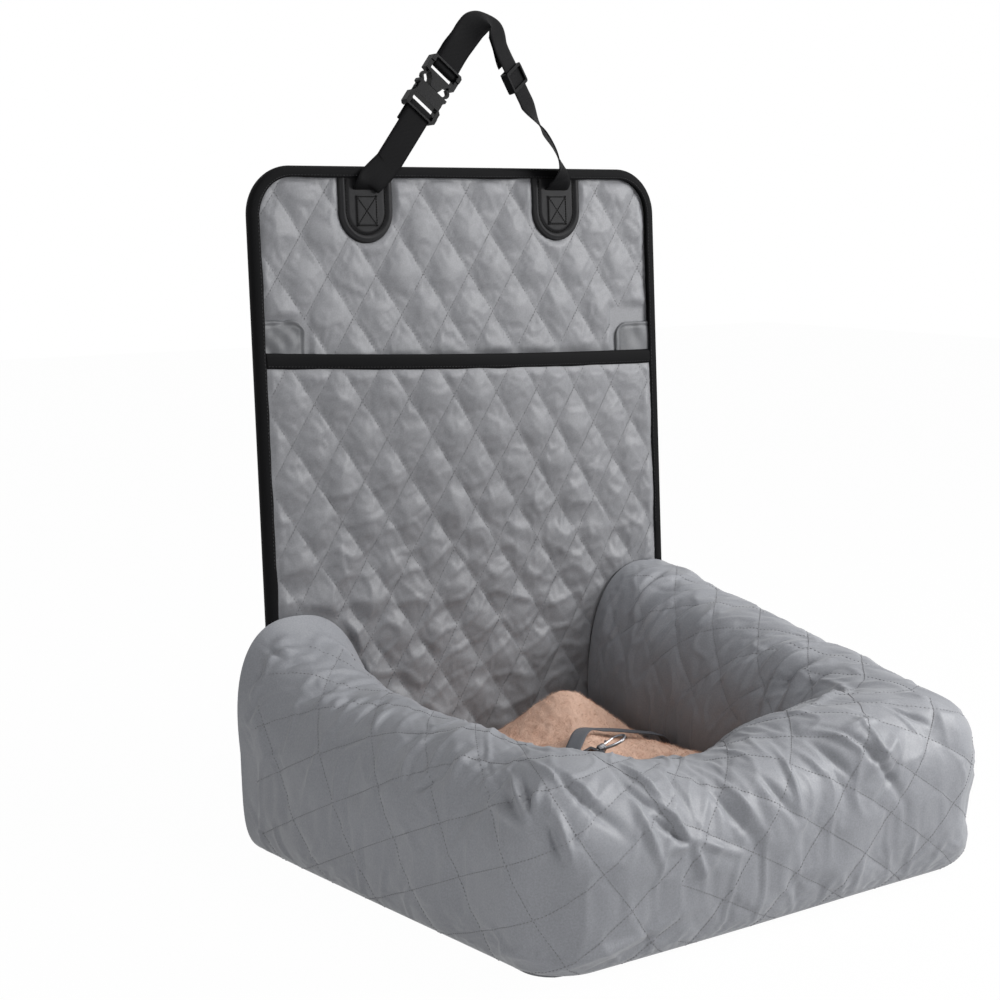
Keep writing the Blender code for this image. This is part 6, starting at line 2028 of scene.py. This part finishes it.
@dataclass(frozen=True)
class Tether:
    """The tether's webbing, from its anchor over the plush pad to the hook's eye."""

    finishes: Finishes
    width: float = 0.015
    thickness: float = 0.0016
    anchor_foot: float = 0.0184
    route: tuple = (
        (0.1305, 0.052, 0.0308, 180),
        (0.1305, 0.052, 0.05, 180),
        (0.1298, 0.0518, 0.065, 180),
        (0.1262, 0.0512, 0.0765, 180),
        (0.118, 0.0505, 0.084, 180),
        (0.104, 0.05, 0.0885, 180),
        (0.089, 0.049, 0.0922, 180),
        (0.065, 0.053, 0.097, 175),
        (0.042, 0.054, 0.1012, 190),
        (0.018, 0.044, 0.108, 210),
        (-0.005, 0.026, 0.1115, 219),
        (-0.028, 0.006, 0.1076, 217),
        (-0.052, -0.011, 0.0985, 205),
        (-0.076, -0.017, 0.0952, 190),
        (-0.096, -0.0185, 0.0922, 200),
        (-0.109, -0.0285, 0.0896, 235),
        (-0.1125, -0.043, 0.0888, 270),
        (-0.106, -0.058, 0.093, 310),
        (-0.092, -0.066, 0.098, 345),
        (-0.077, -0.064, 0.1015, 375),
        (-0.0665, -0.055, 0.104, 412),
        (-0.059, -0.042, 0.1068, 415),
        (-0.0515, -0.0356, 0.1084, 385),
        (-0.044, -0.0336, 0.1088, 362),
    )

    def build(self) -> None:
        line = smooth_line(np.array(self.route), 277)
        heading = np.radians(line[:, 3])
        across = np.stack([np.sin(heading), -np.cos(heading), 0 * heading], axis=1)
        rings, cloth = ribbon_rings(line[:, :3], across, self.width, self.thickness)
        tether = sweep_mesh("tether_strap", rings, cloth)
        finish_piece(tether, self.finishes.tether, Body.NEST, ("tether_webbing",))
        x, y, z, _ = self.route[0]
        foot, head = self.anchor_foot, z - 0.0003
        share = np.linspace(0, 1, 30)[:, None]
        y = y + np.linspace(-1, 1, 24)[None] * self.width / 2 + 0 * share
        z = foot + (head - foot) * share + 0 * y
        front, back = (np.stack([x + depth + 0 * y, y, z], axis=-1)
                       for depth in (-self.thickness, self.thickness))
        anchor = sheet_mesh("tether_anchor_cloth", front, back)
        finish_piece(anchor, self.finishes.tether, Body.NEST, ("tether_anchor",))


# ---- carried-over pieces


def dress(node: str, material: Material) -> None:
    """Give a carried-over CAD node its material.

    Args:
        node: The node's name.
        material: Its material.
    """
    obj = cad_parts[node]
    obj.data.materials.clear()
    obj.data.materials.append(material)
    log.info("%s: carried over", node)


@dataclass(frozen=True)
class Hardware:
    """Buckle, slider, zip and hook, whose CAD shapes stay."""

    plane: PanelPlane
    finishes: Finishes
    zip_tape_thickness: float = 0.0009

    def build(self) -> None:
        """Dress the hard pieces and remake the zip's tape and the slider's loop of webbing."""
        look = self.finishes
        for material, nodes in (
            (look.plastic, ("buckle_socket", "buckle_plug", "buckle_prong_left",
                            "buckle_prong_right", "strap_slider")),
            (look.zip_plastic, ("zip_teeth",)),
            (look.dark_metal, ("zip_slider", "zip_pull")),
            (look.metal, ("hook_eye", "hook_body")),
            (look.gate_metal, ("hook_gate",)),
        ):
            for node in nodes:
                dress(node, material)
        self.make_zip_tape()
        self.make_loop()

    def make_zip_tape(self) -> None:
        """The zip's tape: a flat band across the panel's foot that leans with it."""
        low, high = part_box("zip_tape")
        x = np.linspace(low[0], high[0], 200)[None]
        z = low[2] + (high[2] - low[2]) * np.linspace(0, 1, 12)[:, None]
        y = low[1] + (z - low[2]) * math.tan(self.plane.lean)
        x, y, z = np.broadcast_arrays(x, y, z)
        front = np.stack([x, y, z], axis=-1)
        back = front + np.array([0, self.zip_tape_thickness, 0])
        cloth = np.stack([x, z, 0 * x], axis=-1)
        tape = sheet_mesh("zip_tape_cloth", front, back, cloth)
        finish_piece(tape, self.finishes.tape, Body.NEST, ("zip_tape",))

    def make_loop(self) -> None:
        """The strap's end, sewn round the slider's bar: the CAD loop's form with a weave."""
        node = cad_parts["strap_end_loop"]
        mesh = node.data.copy()
        mesh.transform(node.matrix_world)
        obj = bpy.data.objects.new("strap_end_loop_webbing", mesh)
        bpy.context.scene.collection.objects.link(obj)
        co = np.empty(len(mesh.vertices) * 3, np.float32)
        mesh.vertices.foreach_get("co", co)
        set_field(obj, "cloth", co.reshape(-1, 3)[:, [2, 0, 1]])
        finish_piece(obj, self.finishes.webbing, Body.SLIDER, ("strap_end_loop",))


# ---- studio


@dataclass(frozen=True)
class Studio:
    """Camera, lights, world and floor."""

    place: tuple[float, float, float] = (-1.1526, -1.4105, 0.6226)
    yaw: float = 36.19
    pitch: float = 8.72
    lens: float = 70.13
    ambient: float = 0.18
    lights: tuple = (
        ("key", (1.45, -1.1, 1.05), 0.8, 33.0, (0.0, 0.0, 0.25)),
        ("fill", (-1.45, -0.75, 0.3), 0.7, 5.4, (0.0, 0.0, 0.12)),
        ("top", (0.8, -0.6, 2.4), 1.2, 25.0, (0.0, 0.0, 0.2)),
    )
    floor_half: float = 6.0
    floor_level: float = -0.0006
    floor_glow: float = 0.985

    def build(self) -> None:
        """Set up the camera, the light and the floor."""
        scene = bpy.context.scene
        scene.view_settings.view_transform = "Standard"
        data = bpy.data.cameras.new("camera")
        data.lens, data.sensor_width = self.lens, 36.0
        data.clip_start, data.clip_end = 0.05, 50.0
        camera = bpy.data.objects.new("camera", data)
        camera.location = self.place
        camera.rotation_euler = (math.radians(90 - self.pitch), 0.0, math.radians(-self.yaw))
        scene.collection.objects.link(camera)
        scene.camera = camera
        self.make_world(scene)
        self.make_floor(scene)
        for row in self.lights:
            self.light(scene, *row)

    def light(self, scene: bpy.types.Scene, name: str, place: tuple, size: float, power: float,
              aim: tuple) -> None:
        """Add a square soft light that looks at a point."""
        data = bpy.data.lights.new(name, "AREA")
        data.size, data.energy = size, power
        lamp = bpy.data.objects.new(name, data)
        lamp.location = place
        lamp.rotation_euler = (Vector(aim) - Vector(place)).to_track_quat("-Z", "Y").to_euler()
        scene.collection.objects.link(lamp)

    def make_world(self, scene: bpy.types.Scene) -> None:
        """White to the camera and in reflections, and a soft grey light to everything else."""
        world = bpy.data.worlds.new("studio_world")
        scene.world = world
        nodes = Nodes(world.name, world)
        seen = nodes.add("Background", {0: (1, 1, 1, 1), 1: 1.0})
        lit = nodes.add("Background", {0: (0.97, 0.98, 1.0, 1), 1: self.ambient})
        nodes.close(nodes.add("MixShader", {0: nodes.mirrored(), 1: lit.outputs[0],
                                            2: seen.outputs[0]}))

    def make_floor(self, scene: bpy.types.Scene) -> None:
        """A pale floor that is all but white to the camera."""
        mesh = bpy.data.meshes.new("floor")
        size, level = self.floor_half, self.floor_level
        corners = ((-size, -size), (size, -size), (size, size), (-size, size))
        mesh.from_pydata([(x, y, level) for x, y in corners], [], [(0, 1, 2, 3)])
        floor = bpy.data.objects.new("floor", mesh)
        scene.collection.objects.link(floor)
        nodes = Nodes("floor_white")
        diffuse = nodes.add("BsdfDiffuse", {"Color": (0.82, 0.82, 0.82, 1)})
        glow = nodes.add("Emission", {"Color": (1, 1, 1, 1), "Strength": 1.0})
        share = nodes.math("MULTIPLY", nodes.mirrored(), self.floor_glow)
        nodes.close(nodes.add("MixShader", {0: share, 1: diffuse.outputs[0],
                                            2: glow.outputs[0]}))
        mesh.materials.append(nodes.owner)


def write_sizes() -> None:
    """Bring the view layer up to date; nothing is written."""
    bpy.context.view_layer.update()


def main() -> None:
    """Build the scene: camera and cord first, then the seat from its panel to its nest."""
    logging.basicConfig(level=logging.INFO, format="%(name)s %(message)s")
    plane, finishes = PanelPlane(), Finishes()
    Studio().build()
    Tether(finishes).build()
    panel = BackPanel(plane, finishes)
    panel.build()
    Pocket(panel).build()
    Patches(panel).build()
    HeadrestStrap(plane, finishes).build()
    Nest(finishes).build()
    Base(finishes).build()
    PlushPad(finishes).build()
    Hardware(plane, finishes).build()
    write_sizes()


if __name__ == "__main__":
    main()
